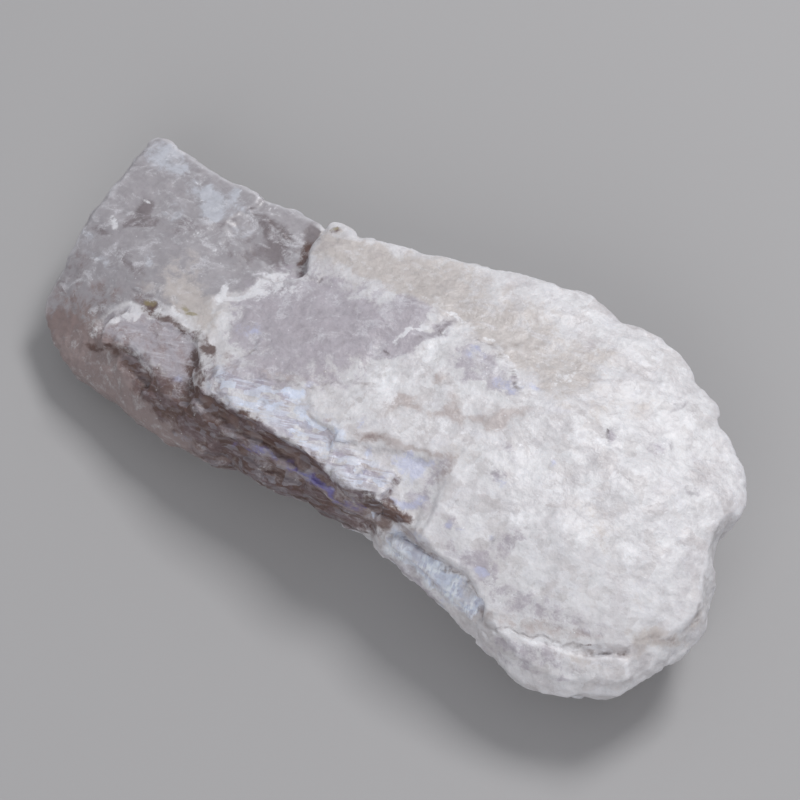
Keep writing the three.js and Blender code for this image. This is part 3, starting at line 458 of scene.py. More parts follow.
# Tints over the plain milky body, in the order they lie over each other: the field, its
# colour, how ragged and how soft its edge is, and how much it covers. The deep ones lie under
# the milky veils, the near ones over them.
DEEP_TINTS = [
    ("clear", tone(156, 152, 157), 2.0, 0.35, 0.92),
    ("lilac", tone(163, 156, 165), 3.2, 0.3, 0.8),
    ("beige", tone(188, 181, 178), 2.4, 0.32, 0.85),
    ("smoke", tone(114, 105, 108), 2.4, 0.32, 0.78),
    ("cloud", tone(190, 193, 202), 2.4, 0.3, 0.8),
]
NEAR_TINTS = [
    ("tan", tone(168, 155, 152), 3.0, 0.42, 0.65),
    # Partly painted shade.
    ("mauve_and_painted_shade", tone(134, 117, 115), 3.0, 0.42, 0.9),
    # White, partly painted light on the rib and on step edges that catch the light.
    ("snow_and_painted_light", tone(226, 226, 230), 3.0, 0.24, 0.75),
    # Painted sheen.
    ("flash", tone(180, 185, 212), 4.0, 0.38, 0.62),
    # Painted sheen.
    ("pearl_sheen", tone(211, 219, 236), 2.6, 0.24, 0.9),
    # Partly painted shade.
    ("umber_and_painted_shade", tone(82, 56, 48), 3.4, 0.44, 0.86),
    # Painted sheen.
    ("violet_sheen", tone(108, 101, 162), 3.0, 0.4, 0.9),
    ("olive", tone(150, 140, 108), 2.0, 0.3, 0.7),
]

# Marks laid over the body: the pattern, the values between which it comes in or None where it is
# its own share, its share, what holds it back and its colour. Patterns of the material are in
# capitals, fields kept on the mesh aren't.
FLAKES = [
    ("Flakes", (0.55, 0.8), 0.45, (), tone(220, 219, 222)),
    ("Flakes", (0.35, 0.15), 0.35, (), tone(190, 184, 184)),
]
VEILS = [
    ("Veils", (0.5, 0.7), 0.5, (), tone(207, 206, 212)),
    ("Veils", (0.46, 0.3), 0.22, (), tone(150, 144, 150)),
]
# Single cleavage blocks and bars are painted glints and pearly sheen where the stone is broken across
# its layers, lighter and darker as they catch the light or not.
LAYER_MARKS = [
    ("Veins", None, 0.4, ("pale",), tone(226, 226, 231)),
    ("Blocks", (0.68, 0.84), 0.6, ("glitter",), tone(206, 214, 232)),
    ("Blocks", (0.42, 0.2), 0.5, ("glitter",), tone(158, 150, 168)),
    ("Streaks", (0.5, 0.62), 0.6, ("glitter", "shine kept"), tone(210, 217, 234)),
    ("Bars", (0.44, 0.56), 0.85, ("bars",), tone(240, 246, 255)),
    ("Bars", (0.44, 0.36), 0.5, ("bars",), tone(204, 208, 226)),
    ("Streaks", (0.5, 0.66), 0.4, ("layered", "streaks kept"), tone(205, 204, 212)),
]
# Painted highlights on edges that stand proud, painted shade in crevices, dark cracks, and specks that are
# painted glints.
EDGE_MARKS = [
    # Painted highlight on edges that stand proud.
    ("proud", (0.02, 0.1), 0.4, ("pale",), tone(222, 222, 227)),
    # Painted shade in crevices.
    ("proud", (-0.05, -0.17), 0.6, (), tone(128, 106, 99)),
    ("fissure", None, 0.6, (), tone(110, 96, 96)),
    # Painted glints.
    ("Specks", None, 0.6, (), tone(240, 240, 244)),
]
CLOUD_LIMITS = (0.36, 0.62)
# The stone is pale where the flank's brownish tint and painted shade are slight, so pale marks keep off
# the flank, with some of the shine and of the streaks left on it. It is layered where its steep steps are
# strong.
PALE_LIMITS = (0.7, 0.2)
SHINE_ON_FLANK = 0.2
STREAKS_ON_FLANK = 0.45
LAYERED_LIMITS = (0.15, 0.5)

# How high the fine relief stands: layers, bars, cracks, and sugary grain with what is taken off
# it where the stone is clear.
LAYER_RELIEF = 0.14
BAR_RELIEF = 0.22
CRACK_RELIEF = 0.12
SUGAR_RELIEF = 0.12
SMOOTHER_WHERE_CLEAR = 0.07

FLOOR_SHADING = {"Base Color": tone(168, 167, 168), "Roughness": 0.9}
FLOOR_HALF_METRES = 1.5


def camera_axes():
    """The directions towards the camera, to its right and up, in the frame."""
    azimuth = math.radians(CAMERA_AZIMUTH)
    elevation = math.radians(CAMERA_ELEVATION)
    flat = math.cos(elevation)
    back = Vector((math.sin(azimuth) * flat, -math.cos(azimuth) * flat, math.sin(elevation)))
    right = Vector((math.cos(azimuth), math.sin(azimuth), 0))
    return back, right, back.cross(right)


def smooth_between(values, low, high):
    """0 below low, 1 above high, and a smooth rise between."""
    share = np.clip((values - low) / (high - low), 0, 1)
    return share * share * (3 - 2 * share)


def waves(points, size, seed, count=30):
    """Random unevenness around 0, mostly between -1 and 1, made of waves about size long."""
    rng = np.random.default_rng(seed)
    directions = rng.normal(size=(count, points.shape[1]))
    directions /= np.linalg.norm(directions, axis=1, keepdims=True)
    lengths = size * rng.uniform(0.7, 1.6, count)
    phases = rng.uniform(0, 2 * math.pi, count)
    angles = 2 * math.pi * points @ (directions / lengths[:, None]).T + phases
    return 0.6 * math.sqrt(2 / count) * np.cos(angles).sum(axis=1)


def points_of(mesh):
    """The mesh's points in millimetres."""
    flat = np.empty(len(mesh.vertices) * 3)
    mesh.vertices.foreach_get("co", flat)
    return flat.reshape(-1, 3) / MM


def set_points(mesh, points):
    """Puts the mesh's points at these places, in millimetres."""
    mesh.vertices.foreach_set("co", (points * MM).ravel())
    mesh.update()


def normals_of(mesh):
    """The direction that each point of the mesh faces."""
    flat = np.empty(len(mesh.vertices) * 3)
    mesh.vertices.foreach_get("normal", flat)
    return flat.reshape(-1, 3)


def keep_field(mesh, name, values):
    """Keeps a value for each point of the mesh under a name."""
    layer = mesh.attributes.get(name) or mesh.attributes.new(name, "FLOAT", "POINT")
    layer.data.foreach_set("value", np.asarray(values, np.float32))


class Neighbours:
    """Which points of a mesh are joined by an edge."""

    def __init__(self, mesh):
        pairs = np.empty(len(mesh.edges) * 2, np.int32)
        mesh.edges.foreach_get("vertices", pairs)
        self.first, self.second = pairs.reshape(-1, 2).T
        self.count = len(mesh.vertices)
        self.degree = np.bincount(pairs, minlength=self.count)

    def mean(self, values):
        """The mean of each point's neighbours."""
        columns = []
        for column in values.reshape(self.count, -1).T:
            total = np.bincount(self.first, column[self.second], self.count)
            total += np.bincount(self.second, column[self.first], self.count)
            columns.append(total / self.degree)
        return np.array(columns).T.reshape(values.shape)

    def smoothed(self, values, rounds, share=0.5):
        """Values moved a share of the way to their neighbours' mean, again and again."""
        for _ in range(rounds):
            values = values + share * (self.mean(values) - values)
        return values


def seen_places(points):
    """Where points are seen on the sheet, as x and y from the middle of the picture."""
    back = np.array(camera_axes()[0])
    level = LOOK_AT * (1, 1, 0)
    eye = LOOK_AT - level + back * CAMERA_DISTANCE
    rays = points - level - eye
    reach = (SHEET_HEIGHT - eye[2]) / rays[:, 2]
    return (eye + rays * reach[:, None])[:, :2]


def depth_inside(places, outline):
    """How far places lie inside an outline, negative outside it."""
    starts = np.array(outline, float)
    ends = np.roll(starts, -1, axis=0)
    nearest = np.full(len(places), np.inf)
    crossings = np.zeros(len(places), int)
    for start, end in zip(starts, ends):
        nearest = np.minimum(nearest, distance_to_segment(places, start, end))
        spans = (start[1] > places[:, 1]) != (end[1] > places[:, 1])
        if start[1] != end[1]:
            along = (places[:, 1] - start[1]) / (end[1] - start[1])
            crossings += spans & (places[:, 0] < start[0] + along * (end[0] - start[0]))
    return np.where(crossings % 2 == 1, nearest, -nearest)


def distance_to_segment(places, start, end):
    """How far places are from a straight line between two places."""
    run = end - start
    share = np.clip((places - start) @ run / (run @ run), 0, 1)
    return np.linalg.norm(places - start - share[:, None] * run, axis=1)


def line_field(places, lines):
    """The strength of the nearest of some fine lines."""
    field = np.zeros(len(places))
    for corners, half_width, strength in lines:
        corners = np.array(corners, float)
        nearest = np.full(len(places), np.inf)
        for start, end in zip(corners, corners[1:]):
            nearest = np.minimum(nearest, distance_to_segment(places, start, end))
        field = np.maximum(field, strength * np.exp(-((nearest / half_width) ** 2)))
    return field


def patch_field(places, patches):
    """The strength of overlapping oval patches, each fading towards its edge."""
    field = np.zeros(len(places))
    for x, y, half_length, half_width, turn, strength in patches:
        angle = math.radians(turn)
        offset = places - (x, y)
        along = (offset @ (math.cos(angle), math.sin(angle))) / half_length
        across = (offset @ (-math.sin(angle), math.cos(angle))) / half_width
        field += strength * np.exp(-0.9 * (along**2 + across**2))
    return field


def zone_field(places, outline, edge):
    """1 well inside an outline, 0 outside it, with an edge this wide."""
    return smooth_between(depth_inside(places, outline), -edge, edge)


def hidden_fields(points):
    """Tints on the sides that the photograph doesn't show, from slow unevenness alone."""
    small_end = smooth_between(-points[:, 0] + 1.5 * waves(points, 9, 41), 14, 18)
    drift = 1.5 * waves(points, 6, 55)
    near_side = smooth_between(-points[:, 1] + drift, 5, 10)
    under_flank = near_side * smooth_between(-points[:, 0] + drift, -7, 1)
    fields = {
        name: sum(
            strength * smooth_between(waves(points, size, seed), start, full)
            for size, seed, start, full, strength in spreads
        )
        for name, spreads in HIDDEN_TINTS.items()
    }
    # The small end alone is clear and smoky with clouds.
    fields["clear"] = 0.9 * small_end
    for name in ("smoke", "cloud"):
        fields[name] *= small_end
    # The flank's brown and painted shade go on below what the photograph shows, and fade out there.
    fields["mauve_and_painted_shade"] += 0.6 * under_flank
    fields["umber_and_painted_shade"] = 0.32 * smooth_between(waves(points, 6, 51) + 0.7 * under_flank, 0.7, 1.4)
    return fields


def placed_fields(places):
    """Tints that the photograph shows, each at its place."""
    zones = {name: zone_field(places, ZONES[name], edge) for name, edge in TINT_EDGES.items()}
    zones["foot"] = zones["flank"] * smooth_between(-places[:, 1], *FOOT_DEPTHS)
    fields = {"glitter": np.zeros(len(places))}
    for name, patches in PATCHES.items():
        fields[name] = PATCH_SHARES.get(name, 1) * patch_field(places, patches)
    for name, shares in ZONE_TINTS.items():
        for zone, share in shares.items():
            fields[name] += share * zones[zone]
    # Crease lines are whitish, partly painted highlights on step edges that catch the light.
    fields["snow_and_painted_light"] += CREASE_SHARE * line_field(places, LINES["creases"])
    fields["bars"] = zones["rib"] * smooth_between(waves(places, 2.2, 65), -0.7, 0.5)
    return fields


def relief_fields(places, seen):
    """How strongly each part of the surface is broken up."""
    zones = {name: zone_field(places, ZONES[name], edge) * seen for name, edge in RELIEF_EDGES.items()}
    zones |= {"all": np.ones(len(places)), "hidden": 1 - seen}
    return {
        name: sum(share * zones[zone] for zone, share in shares.items())
        for name, shares in RELIEF.items()
    }


def in_scene(name, data):
    """A new object in the scene."""
    thing = bpy.data.objects.new(name, data)
    bpy.context.scene.collection.objects.link(thing)
    return thing


def merged_copy(node):
    """A copy of a CAD node's mesh with its loose triangles joined."""
    mesh = node.data.copy()
    body = bmesh.new()
    body.from_mesh(mesh)
    bmesh.ops.remove_doubles(body, verts=body.verts, dist=0.0005 * MM)
    body.to_mesh(mesh)
    body.free()
    return in_scene("moonstone_surface", mesh)


def take_result(piece):
    """Makes the piece the plain mesh that its modifiers give, and removes them."""
    graph = bpy.context.evaluated_depsgraph_get()
    graph.update()
    old = piece.data
    result = bpy.data.meshes.new_from_object(piece.evaluated_get(graph), depsgraph=graph)
    piece.modifiers.clear()
    piece.data = result
    bpy.data.meshes.remove(old)


def remesh(piece):
    """Gives the piece an even mesh, fine enough for its ledges and lumps."""
    modifier = piece.modifiers.new("even_mesh", "REMESH")
    modifier.mode = "VOXEL"
    modifier.voxel_size = VOXEL * MM
    take_result(piece)


def feed(tree, socket, value):
    """Joins a socket to another, or sets its value."""
    if isinstance(value, bpy.types.NodeSocket):
        tree.links.new(value, socket)
    else:
        socket.default_value = value


def feed_all(tree, sockets, values):
    """Feeds several sockets, each under its name or number."""
    for key, value in values.items():
        feed(tree, sockets[key], value)


def add(tree, kind, inputs=None, **settings):
    """Adds a node with its settings and inputs."""
    node = tree.nodes.new(kind)
    for name, value in settings.items():
        setattr(node, name, value)
    feed_all(tree, node.inputs, inputs or {})
    return node


def calc(tree, operation, *values):
    """A calculation on one or two numbers, gone on with in the same way for each further one."""
    inputs = dict(enumerate(values[:2]))
    result = add(tree, "ShaderNodeMath", inputs, operation=operation).outputs[0]
    return calc(tree, operation, result, *values[2:]) if values[2:] else result


def vector_calc(tree, operation, inputs, output="Vector"):
    """A calculation on directions or places."""
    return add(tree, "ShaderNodeVectorMath", inputs, operation=operation).outputs[output]


def noise(tree, place, size, detail=3.0, roughness=0.5, distortion=0.0):
    """Noise between 0 and 1 whose lumps are about this many millimetres across."""
    inputs = {"Vector": place, "Detail": detail, "Roughness": roughness, "Distortion": distortion}
    inputs["Scale"] = calc(tree, "DIVIDE", 1.0, size)
    return add(tree, "ShaderNodeTexNoise", inputs)


def rise(tree, value, low, high):
    """0 below low, 1 above high, and a smooth rise between."""
    inputs = {"Value": value, "From Min": low, "From Max": high}
    return add(tree, "ShaderNodeMapRange", inputs, interpolation_type="SMOOTHSTEP").outputs["Result"]


def new_tree(name, kind, inputs, outputs):
    """A node tree, and the sockets of its inputs, with their values, and of its outputs."""
    tree = bpy.data.node_groups.new(name, kind)
    for side, labels in (("INPUT", inputs), ("OUTPUT", outputs)):
        for label in labels:
            socket_kind = SOCKET_KINDS.get(label, "NodeSocketFloat")
            tree.interface.new_socket(label, in_out=side, socket_type=socket_kind)
    for socket in tree.interface.items_tree:
        if inputs.get(socket.name) is not None:
            socket.default_value = inputs[socket.name]
    return tree, add(tree, "NodeGroupInput").outputs, add(tree, "NodeGroupOutput").inputs


def named_field(tree, name):
    """A field kept on the mesh, inside a geometry tree."""
    node = add(tree, "GeometryNodeInputNamedAttribute", {"Name": name}, data_type="FLOAT")
    return node.outputs["Attribute"]


def stepped(tree, place, drawn, across, step, strength, seed):
    """Places drawn towards layers a step apart, whose edges follow the drawn-out places."""
    shifted = vector_calc(tree, "ADD", {0: drawn, 1: (seed, -seed, 0.5 * seed)})
    wander = centred(tree, shifted, STEP_WANDER_SIZE, STEP_WANDER, 2.0)
    height = vector_calc(tree, "DOT_PRODUCT", {0: place, 1: across}, "Value")
    level = calc(tree, "DIVIDE", calc(tree, "ADD", height, wander), step)
    rest = calc(tree, "FRACT", level)
    riser = rise(tree, rest, *STEP_RISER)
    move = calc(tree, "MULTIPLY", calc(tree, "SUBTRACT", riser, rest), step)
    uneven = rise(tree, noise(tree, shifted, STEP_SPREAD_SIZE, 1.0).outputs[0], *STEP_SPREAD)
    move = calc(tree, "MULTIPLY", move, strength, uneven)
    shift = vector_calc(tree, "SCALE", {0: across, "Scale": move})
    return vector_calc(tree, "ADD", {0: place, 1: shift})


def cells(tree, place, size, **settings):
    """Cells about this many millimetres across."""
    inputs = {"Vector": place, "Scale": calc(tree, "DIVIDE", 1.0, size)}
    return add(tree, "ShaderNodeTexVoronoi", inputs, **settings).outputs


def chipped(tree, place, size):
    """The height of flat chips about this size across, each tilted its own way."""
    chips = cells(tree, place, size)
    tilt = vector_calc(tree, "SUBTRACT", {0: chips["Color"], 1: (0.5, 0.5, 0.5)})
    offset = vector_calc(tree, "SUBTRACT", {0: place, 1: chips["Position"]})
    return vector_calc(tree, "DOT_PRODUCT", {0: tilt, 1: offset}, "Value")


def centred(tree, place, size, height, detail):
    """Noise around 0 of this size, as a height."""
    value = calc(tree, "SUBTRACT", noise(tree, place, size, detail).outputs[0], 0.5)
    return calc(tree, "MULTIPLY", value, calc(tree, "MULTIPLY", height, 2.0))


def slide(tree, place, normal, given):
    """A wander of the surface along itself, which makes its edges ragged but not its flats."""
    wander = noise(tree, place, given["Wander size"], 3.0, 0.55).outputs["Color"]
    wander = vector_calc(tree, "SUBTRACT", {0: wander, 1: (0.5, 0.5, 0.5)})
    reach = calc(tree, "MULTIPLY", given["Wander"], named_field(tree, "raggedness"))
    wander = vector_calc(tree, "SCALE", {0: wander, "Scale": calc(tree, "MULTIPLY", reach, 2.0)})
    outwards = vector_calc(tree, "PROJECT", {0: wander, 1: normal})
    return vector_calc(tree, "SUBTRACT", {0: wander, 1: outwards})


def swelling(tree, place, bent, given):
    """How far chips, lumps, pits and grain push the surface out."""
    chips = calc(tree, "MULTIPLY", chipped(tree, bent, given["Chip size"]), given["Chip tilt"])
    heights = [calc(tree, "MULTIPLY", chips, named_field(tree, "facets"))]
    for kind, detail in (("Lump", 2.0), ("Pit", 2.0), ("Grain", 1.0)):
        heights.append(centred(tree, place, given[kind + " size"], given[kind + " height"], detail))
    return calc(tree, "ADD", *heights)


def broken_surface_tree():
    """The rule of the stone's broken surface: ragged edges, three sets of layers, chips and lumps."""
    inputs = {"Geometry": None, **BROKEN_SURFACE, "Material": None}
    tree, given, result = new_tree("broken_surface", "GeometryNodeTree", inputs, ["Geometry"])

    start_place = add(tree, "GeometryNodeInputPosition").outputs[0]
    normal = add(tree, "GeometryNodeInputNormal").outputs[0]
    place = vector_calc(tree, "SCALE", {0: start_place, "Scale": 1 / MM})
    turned = add(tree, "ShaderNodeVectorRotate", {"Vector": place, "Angle": math.radians(TRACE_TURN)})
    drawn = vector_calc(tree, "MULTIPLY", {0: turned.outputs[0], 1: (TRACE_STRETCH, 1, 1)})

    wander = slide(tree, place, normal, given)
    bent = vector_calc(tree, "ADD", {0: place, 1: wander})
    moved = bent
    for across, step, field, seed in LAYER_SETS:
        moved = stepped(tree, moved, drawn, across, given[step], named_field(tree, field), seed)
    swell = vector_calc(tree, "SCALE", {0: normal, "Scale": swelling(tree, place, bent, given)})
    moved = vector_calc(tree, "ADD", {0: moved, 1: swell})

    # The face that the stone rests on stays flat.
    shift = vector_calc(tree, "SUBTRACT", {0: moved, 1: place})
    height = add(tree, "ShaderNodeSeparateXYZ", {0: place}).outputs["Z"]
    free = rise(tree, height, *RESTING_BAND)
    shift = vector_calc(tree, "SCALE", {0: shift, "Scale": calc(tree, "MULTIPLY", free, MM)})
    placed = add(tree, "GeometryNodeSetPosition", {"Geometry": given["Geometry"], "Offset": shift})
    real = add(tree, "GeometryNodeRealizeInstances", {"Geometry": placed.outputs[0]})
    inputs = {"Geometry": real.outputs[0], "Material": given["Material"]}
    finished = add(tree, "GeometryNodeSetMaterial", inputs)
    feed(tree, result["Geometry"], finished.outputs[0])
    return tree


def break_surface(piece, material):
    """Runs the broken-surface rule over the piece."""
    modifier = piece.modifiers.new("broken_surface", "NODES")
    modifier.node_group = broken_surface_tree()
    for item in modifier.node_group.interface.items_tree:
        if item.name == "Material":
            modifier[item.identifier] = material
    take_result(piece)


def blunted(points, surroundings):
    """Points that stand too far out of their surroundings, drawn back towards them."""
    offset = points - surroundings
    reach = np.linalg.norm(offset, axis=1, keepdims=True)
    return surroundings + offset * np.minimum(1, FURTHEST_PROUD / np.maximum(reach, FURTHEST_PROUD))


def inside_box(points):
    """Points kept inside the CAD model's box, standing on the floor."""
    low, high = (np.array(corner) / MM for corner in cad_box)
    points = np.clip(points, low + CLEARANCE_IN_BOX, high - CLEARANCE_IN_BOX)
    points[:, 2] -= points[:, 2].min()
    return points


def keep_proud_field(mesh):
    """Keeps how far each part of the surface stands proud of its surroundings."""
    points = points_of(mesh)
    near = Neighbours(mesh).smoothed(points, PROUD_ROUNDS, PROUD_SHARE)
    keep_field(mesh, "proud", ((points - near) * normals_of(mesh)).sum(axis=1))


def lean(mesh):
    """How far each point of the mesh faces the camera, 1 straight at it and -1 straight away."""
    return normals_of(mesh) @ np.array(camera_axes()[0])


def worn_points(mesh, points):
    """Points smoothed on the worn slopes, at the foot of the walls and a little on hidden sides."""
    worn = patch_field(seen_places(points), WORN_SLOPES)
    worn += HIDDEN_WEAR * smooth_between(-lean(mesh), 0, 0.2)
    worn += FOOT_WEAR * smooth_between(-points[:, 2], -WORN_FOOT, -0.3 * WORN_FOOT)
    worn = np.clip(worn, 0, 1)[:, None]
    return points + worn * (Neighbours(mesh).smoothed(points, WORN_ROUNDS) - points)


def wavy(places):
    """Places on the sheet moved a little by waves, so that marks have uneven edges."""
    moved = places
    for reach, size, seeds in EDGE_WAVES:
        moved = moved + reach * np.stack([waves(places, size, seed) for seed in seeds], axis=1)
    return moved


def keep_marks(mesh, points):
    """Keeps the tints and the strength of the relief for each point."""
    places = wavy(seen_places(points))
    seen = smooth_between(lean(mesh), *SEEN_LEAN)
    hidden = hidden_fields(points)
    for name, placed in placed_fields(places).items():
        keep_field(mesh, name, seen * placed + (1 - seen) * hidden.get(name, 0))
    keep_field(mesh, "fissure", seen * line_field(places, LINES["fissures"]))
    for name, values in relief_fields(places, seen).items():
        keep_field(mesh, name, values)


def finish_surface(mesh):
    """Takes the edge off the broken surface, blunts its needles and keeps it in its box."""
    neighbours = Neighbours(mesh)
    points = neighbours.smoothed(points_of(mesh), LAST_SMOOTHING)
    points = blunted(points, neighbours.smoothed(points, SURROUNDINGS_ROUNDS, 1.0))
    set_points(mesh, inside_box(points))
    keep_proud_field(mesh)
    mesh.shade_smooth()


def make_moonstone(material):
    """The whole stone: the CAD solid, remeshed, marked with its tints and broken up."""
    piece = merged_copy(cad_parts["moonstone"])
    remesh(piece)
    mesh = piece.data
    points = Neighbours(mesh).smoothed(points_of(mesh), FIRST_SMOOTHING)
    points = worn_points(mesh, points)
    set_points(mesh, points)
    keep_marks(mesh, points)
    break_surface(piece, material)
    finish_surface(piece.data)
    return piece


def new_material(name):
    """A new material and its shader."""
    material = bpy.data.materials.new(name)
    material.use_nodes = True
    return material, material.node_tree.nodes["Principled BSDF"]


def mixed(tree, share, under, over):
    """One colour laid over another by a share."""
    node = add(tree, "ShaderNodeMix", {0: share, 6: under, 7: over}, data_type="RGBA")
    return node.outputs[2]


def object_place(tree, stretch=(1, 1, 1), turn=0):
    """Places on the stone in millimetres, stretched along its cleavage where asked."""
    place = add(tree, "ShaderNodeTexCoord").outputs["Object"]
    turned = add(tree, "ShaderNodeVectorRotate", {"Vector": place, "Angle": math.radians(turn)})
    scale = tuple(s / MM for s in stretch)
    return add(tree, "ShaderNodeMapping", {"Vector": turned.outputs[0], "Scale": scale}).outputs[0]


def ragged_edge_group():
    """A mask with a ragged edge, made from a field and noise."""
    tree, given, result = new_tree("ragged_edge", "ShaderNodeTree", RAGGED_EDGE, ["Mask"])
    rough = calc(tree, "MULTIPLY", calc(tree, "SUBTRACT", given["Noise"], 0.5), given["Raggedness"])
    # Noise may push a patch in or out, but never makes one where the field is nothing.
    reach = rise(tree, given["Amount"], 0.02, 0.3)
    value = calc(tree, "ADD", given["Amount"], calc(tree, "MULTIPLY", rough, reach))
    low = calc(tree, "SUBTRACT", given["Middle"], given["Softness"])
    high = calc(tree, "ADD", given["Middle"], given["Softness"])
    feed(tree, result["Mask"], rise(tree, value, low, high))
    return tree


def cell_value(tree, place, size, **settings):
    """A random value for each of the cells of about this size."""
    colour = cells(tree, place, size, **settings)["Color"]
    return add(tree, "ShaderNodeSeparateColor", {0: colour}).outputs[0]


def specks(tree, place):
    """Small round specks in some of the cells, painted glints."""
    dots = add(tree, "ShaderNodeTexVoronoi", {"Vector": place, "Scale": SPECKS_PER_MM}).outputs
    lit = add(tree, "ShaderNodeSeparateColor", {0: dots["Color"]}).outputs[1]
    lit = calc(tree, "GREATER_THAN", lit, CELLS_WITHOUT_SPECK)
    return calc(tree, "MULTIPLY", lit, rise(tree, dots["Distance"], *SPECK_EDGE))


def milkiness_group():
    """Turbidity inside the stone: clouds, ragged edges, flat flakes; blocks and specks for painted glints.
    """
    outputs = ["Clouds", "Edges", "Veils", "Veins", "Flakes", "Blocks", "Specks"]
    tree, given, result = new_tree("milkiness", "ShaderNodeTree", MILKINESS, outputs)
    place = object_place(tree)
    clouds = noise(tree, place, given["Cloud size"], 4.0, 0.6, 0.4).outputs[0]
    edges = noise(tree, place, given["Edge size"], 7.0, 0.74, 0.3).outputs[0]
    along = object_place(tree, VEIL_STRETCH, TRACE_TURN)
    veils = noise(tree, along, given["Veil size"], 5.0, 0.7, 0.8).outputs[0]
    # Healed cracks are hair-thin lines where the noise passes through its middle.
    veins = calc(tree, "ABSOLUTE", calc(tree, "SUBTRACT", edges, 0.5))
    veins = calc(tree, "SUBTRACT", 1.0, rise(tree, veins, 0.0, given["Vein width"]))

    bend = add(tree, "ShaderNodeCombineXYZ", {0: edges, 1: clouds, 2: edges}).outputs[0]
    bend = vector_calc(tree, "SCALE", {0: bend, "Scale": given["Flake bend"]})
    bent = vector_calc(tree, "ADD", {0: place, 1: bend})
    square = object_place(tree, BLOCK_STRETCH, TRACE_TURN)
    values = {
        "Clouds": clouds,
        "Edges": edges,
        "Veils": veils,
        "Veins": calc(tree, "MULTIPLY", veins, rise(tree, veils, 0.48, 0.6)),
        "Flakes": cell_value(tree, bent, given["Flake size"]),
        "Blocks": cell_value(tree, square, given["Block size"], distance="CHEBYCHEV"),
        "Specks": specks(tree, place),
    }
    feed_all(tree, result, values)
    return tree


def cleavage_grain_group():
    """Fine relief: hair-thin layers along the trace, bars across it and sugary grain."""
    outputs = ["Streaks", "Bars", "Sugar"]
    tree, given, result = new_tree("cleavage_grain", "ShaderNodeTree", CLEAVAGE_GRAIN, outputs)
    along = object_place(tree, STREAK_STRETCH, TRACE_TURN)
    across = object_place(tree, BAR_STRETCH, BARS_TURN)
    values = {
        "Streaks": noise(tree, along, given["Streak size"], 3.0, 0.6).outputs[0],
        "Bars": noise(tree, across, given["Bar size"], 2.0, 0.6).outputs[0],
        "Sugar": noise(tree, object_place(tree), given["Sugar size"], 2.0, 0.6).outputs[0],
    }
    feed_all(tree, result, values)
    return tree


def surface_field(tree, name):
    """A field kept on the mesh, inside a material."""
    return add(tree, "ShaderNodeAttribute", attribute_name=name).outputs["Fac"]


def tinted(tree, colour, edges, ragged, tints):
    """A colour with placed tints laid over it in turn."""
    for name, tint, raggedness, softness, cover in tints:
        edge = add(tree, "ShaderNodeGroup", node_tree=ragged)
        values = {"Amount": surface_field(tree, name), "Noise": edges}
        values |= {"Raggedness": raggedness, "Softness": softness}
        feed_all(tree, edge.inputs, values)
        colour = mixed(tree, calc(tree, "MULTIPLY", edge.outputs[0], cover), colour, tint)
    return colour


def marked(tree, colour, fields, marks):
    """A colour with marks laid over it in turn."""
    for pattern, limits, share, masks, tint in marks:
        amount = rise(tree, fields[pattern], *limits) if limits else fields[pattern]
        amount = calc(tree, "MULTIPLY", amount, share, *[fields[mask] for mask in masks])
        colour = mixed(tree, amount, colour, tint)
    return colour


def mottled(tree, colour, fields):
    """The colour lighter and darker by a few parts in a hundred."""
    sugar = calc(tree, "MULTIPLY", fields["Sugar"], MOTTLE_SUGAR)
    mottle = calc(tree, "ADD", fields["Edges"], sugar)
    limits = dict(enumerate((mottle, *MOTTLE_VALUES, *MOTTLE_SHADES)))
    shade = add(tree, "ShaderNodeMapRange", limits).outputs[0]
    return vector_calc(tree, "SCALE", {0: colour, "Scale": shade})


def milky_colour(tree, fields):
    """The stone's colour, with flakes, deep tints, veils, near tints and marks over its clouds; painted
    sheen, glints, highlights and shade among them.
    """
    ragged = ragged_edge_group()
    colour = mixed(tree, rise(tree, fields["Clouds"], *CLOUD_LIMITS), BODY_SHADE, BODY_TONE)
    colour = marked(tree, colour, fields, FLAKES)
    colour = tinted(tree, colour, fields["Edges"], ragged, DEEP_TINTS)
    colour = marked(tree, colour, fields, VEILS)
    colour = tinted(tree, colour, fields["Edges"], ragged, NEAR_TINTS)
    colour = marked(tree, colour, fields, LAYER_MARKS)
    colour = mottled(tree, colour, fields)
    return marked(tree, colour, fields, EDGE_MARKS)


def satin(tree, fields):
    """The roughness: duller where cloudy, glossier on specks and where clear or glittering."""
    cloudy = calc(tree, "MULTIPLY", fields["Clouds"], CLOUDY_ROUGHNESS)
    specks_gloss = calc(tree, "MULTIPLY", fields["Specks"], SPECK_GLOSS)
    glassy = calc(tree, "ADD", fields["clear"], fields["glitter"])
    glassy = calc(tree, "MULTIPLY", rise(tree, glassy, *GLASSY_LIMITS), GLASSY_GLOSS)
    return calc(tree, "SUBTRACT", calc(tree, "ADD", ROUGHNESS, cloudy), specks_gloss, glassy)


def fine_relief(tree, fields):
    """The normal over hair-thin layers, sugary grain, the rib's bars and cracks."""
    clear = rise(tree, fields["clear"], *GLASSY_LIMITS)
    sugar = calc(tree, "SUBTRACT", SUGAR_RELIEF, calc(tree, "MULTIPLY", clear, SMOOTHER_WHERE_CLEAR))
    heights = [
        calc(tree, "MULTIPLY", fields["layered"], LAYER_RELIEF, fields["Streaks"]),
        calc(tree, "MULTIPLY", fields["Sugar"], sugar),
        calc(tree, "MULTIPLY", fields["bars"], BAR_RELIEF, fields["Bars"]),
        calc(tree, "MULTIPLY", fields["fissure"], -CRACK_RELIEF),
    ]
    height = calc(tree, "ADD", *heights)
    return add(tree, "ShaderNodeBump", {"Height": height, "Distance": MM, "Strength": 1.0}).outputs[0]


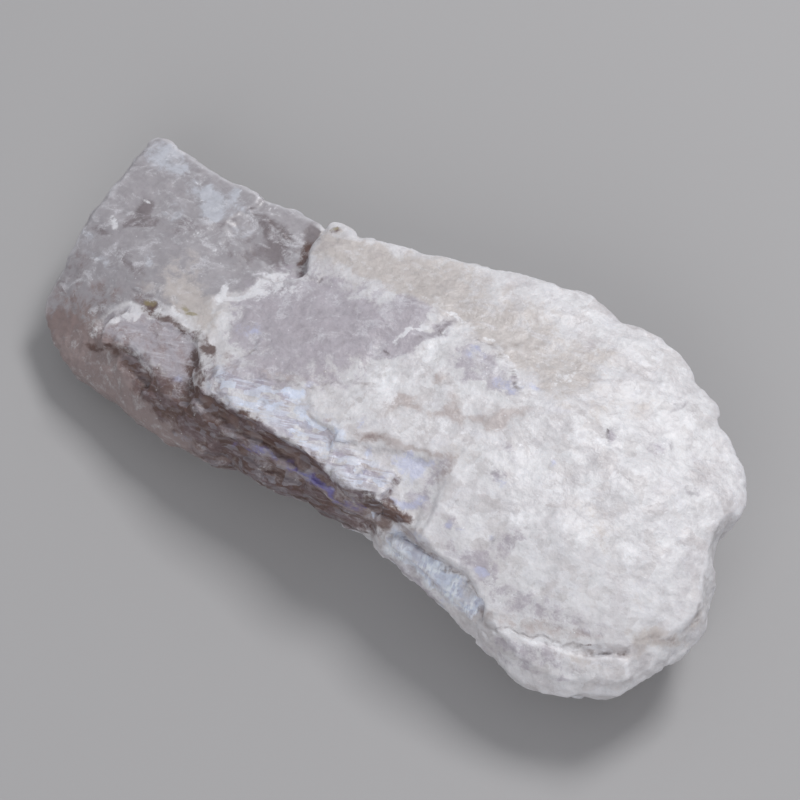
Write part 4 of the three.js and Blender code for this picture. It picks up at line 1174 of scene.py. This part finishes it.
def milky_feldspar():
    """The stone's material: milky white with grey, lavender and beige depths and painted blue flashes of
    sheen.
    """
    material, shader = new_material("milky_feldspar")
    tree = material.node_tree
    fields = {}
    for group in (milkiness_group(), cleavage_grain_group()):
        fields |= dict(add(tree, "ShaderNodeGroup", node_tree=group).outputs.items())
    for name in ("glitter", "bars", "fissure", "clear", "proud"):
        fields[name] = surface_field(tree, name)
    fields["pale"] = rise(tree, surface_field(tree, "mauve_and_painted_shade"), *PALE_LIMITS)
    fields["shine kept"] = calc(tree, "MAXIMUM", fields["pale"], SHINE_ON_FLANK)
    fields["streaks kept"] = calc(tree, "MAXIMUM", fields["pale"], STREAKS_ON_FLANK)
    fields["layered"] = rise(tree, surface_field(tree, "steep_steps"), *LAYERED_LIMITS)
    feed_all(tree, shader.inputs, {
        "Base Color": milky_colour(tree, fields),
        "Roughness": satin(tree, fields),
        "Normal": fine_relief(tree, fields),
        **BODY_SHADING,
    })
    return material


def pale_floor():
    """A plain pale floor."""
    material, shader = new_material("pale_floor")
    feed_all(material.node_tree, shader.inputs, FLOOR_SHADING)
    half = FLOOR_HALF_METRES
    corners = [(-half, -half, 0), (half, -half, 0), (half, half, 0), (-half, half, 0)]
    mesh = bpy.data.meshes.new("floor")
    mesh.from_pydata(corners, [], [(0, 1, 2, 3)])
    mesh.materials.append(material)
    floor = in_scene("floor", mesh)


def soft_light(name, towards, distance, size, power):
    """A square soft light in a direction from the stone, aimed at it; metres and watts."""
    lamp = bpy.data.lights.new(name, "AREA")
    lamp.size = size
    lamp.energy = power
    light = in_scene(name, lamp)
    direction = Vector(towards).normalized()
    light.location = direction * distance
    light.rotation_euler = direction.to_track_quat("Z", "Y").to_euler()


def studio():
    """Soft light from high behind the stone, a weak fill from the front and even surroundings."""
    world = bpy.data.worlds.new("studio")
    bpy.context.scene.world = world
    world.use_nodes = True
    background = world.node_tree.nodes["Background"]
    background.inputs["Color"].default_value = SURROUNDINGS_COLOUR
    background.inputs["Strength"].default_value = SURROUNDINGS_STRENGTH
    for name, values in SOFT_LIGHTS.items():
        soft_light(name, *values)
    bpy.context.scene.view_settings.view_transform = "Standard"


def photo_camera():
    """The camera, at the photograph's view."""
    back, right, up = camera_axes()
    data = bpy.data.cameras.new("camera")
    data.lens = LENS
    data.sensor_width = SENSOR
    camera = in_scene("camera", data)
    place = (Vector(LOOK_AT) + back * CAMERA_DISTANCE) * MM
    axes = Matrix((right, up, back)).transposed().to_4x4()
    camera.matrix_world = Matrix.Translation(place) @ axes
    bpy.context.scene.camera = camera


photo_camera()
studio()
pale_floor()
stone = make_moonstone(milky_feldspar())
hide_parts("moonstone")
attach(stone, "root")
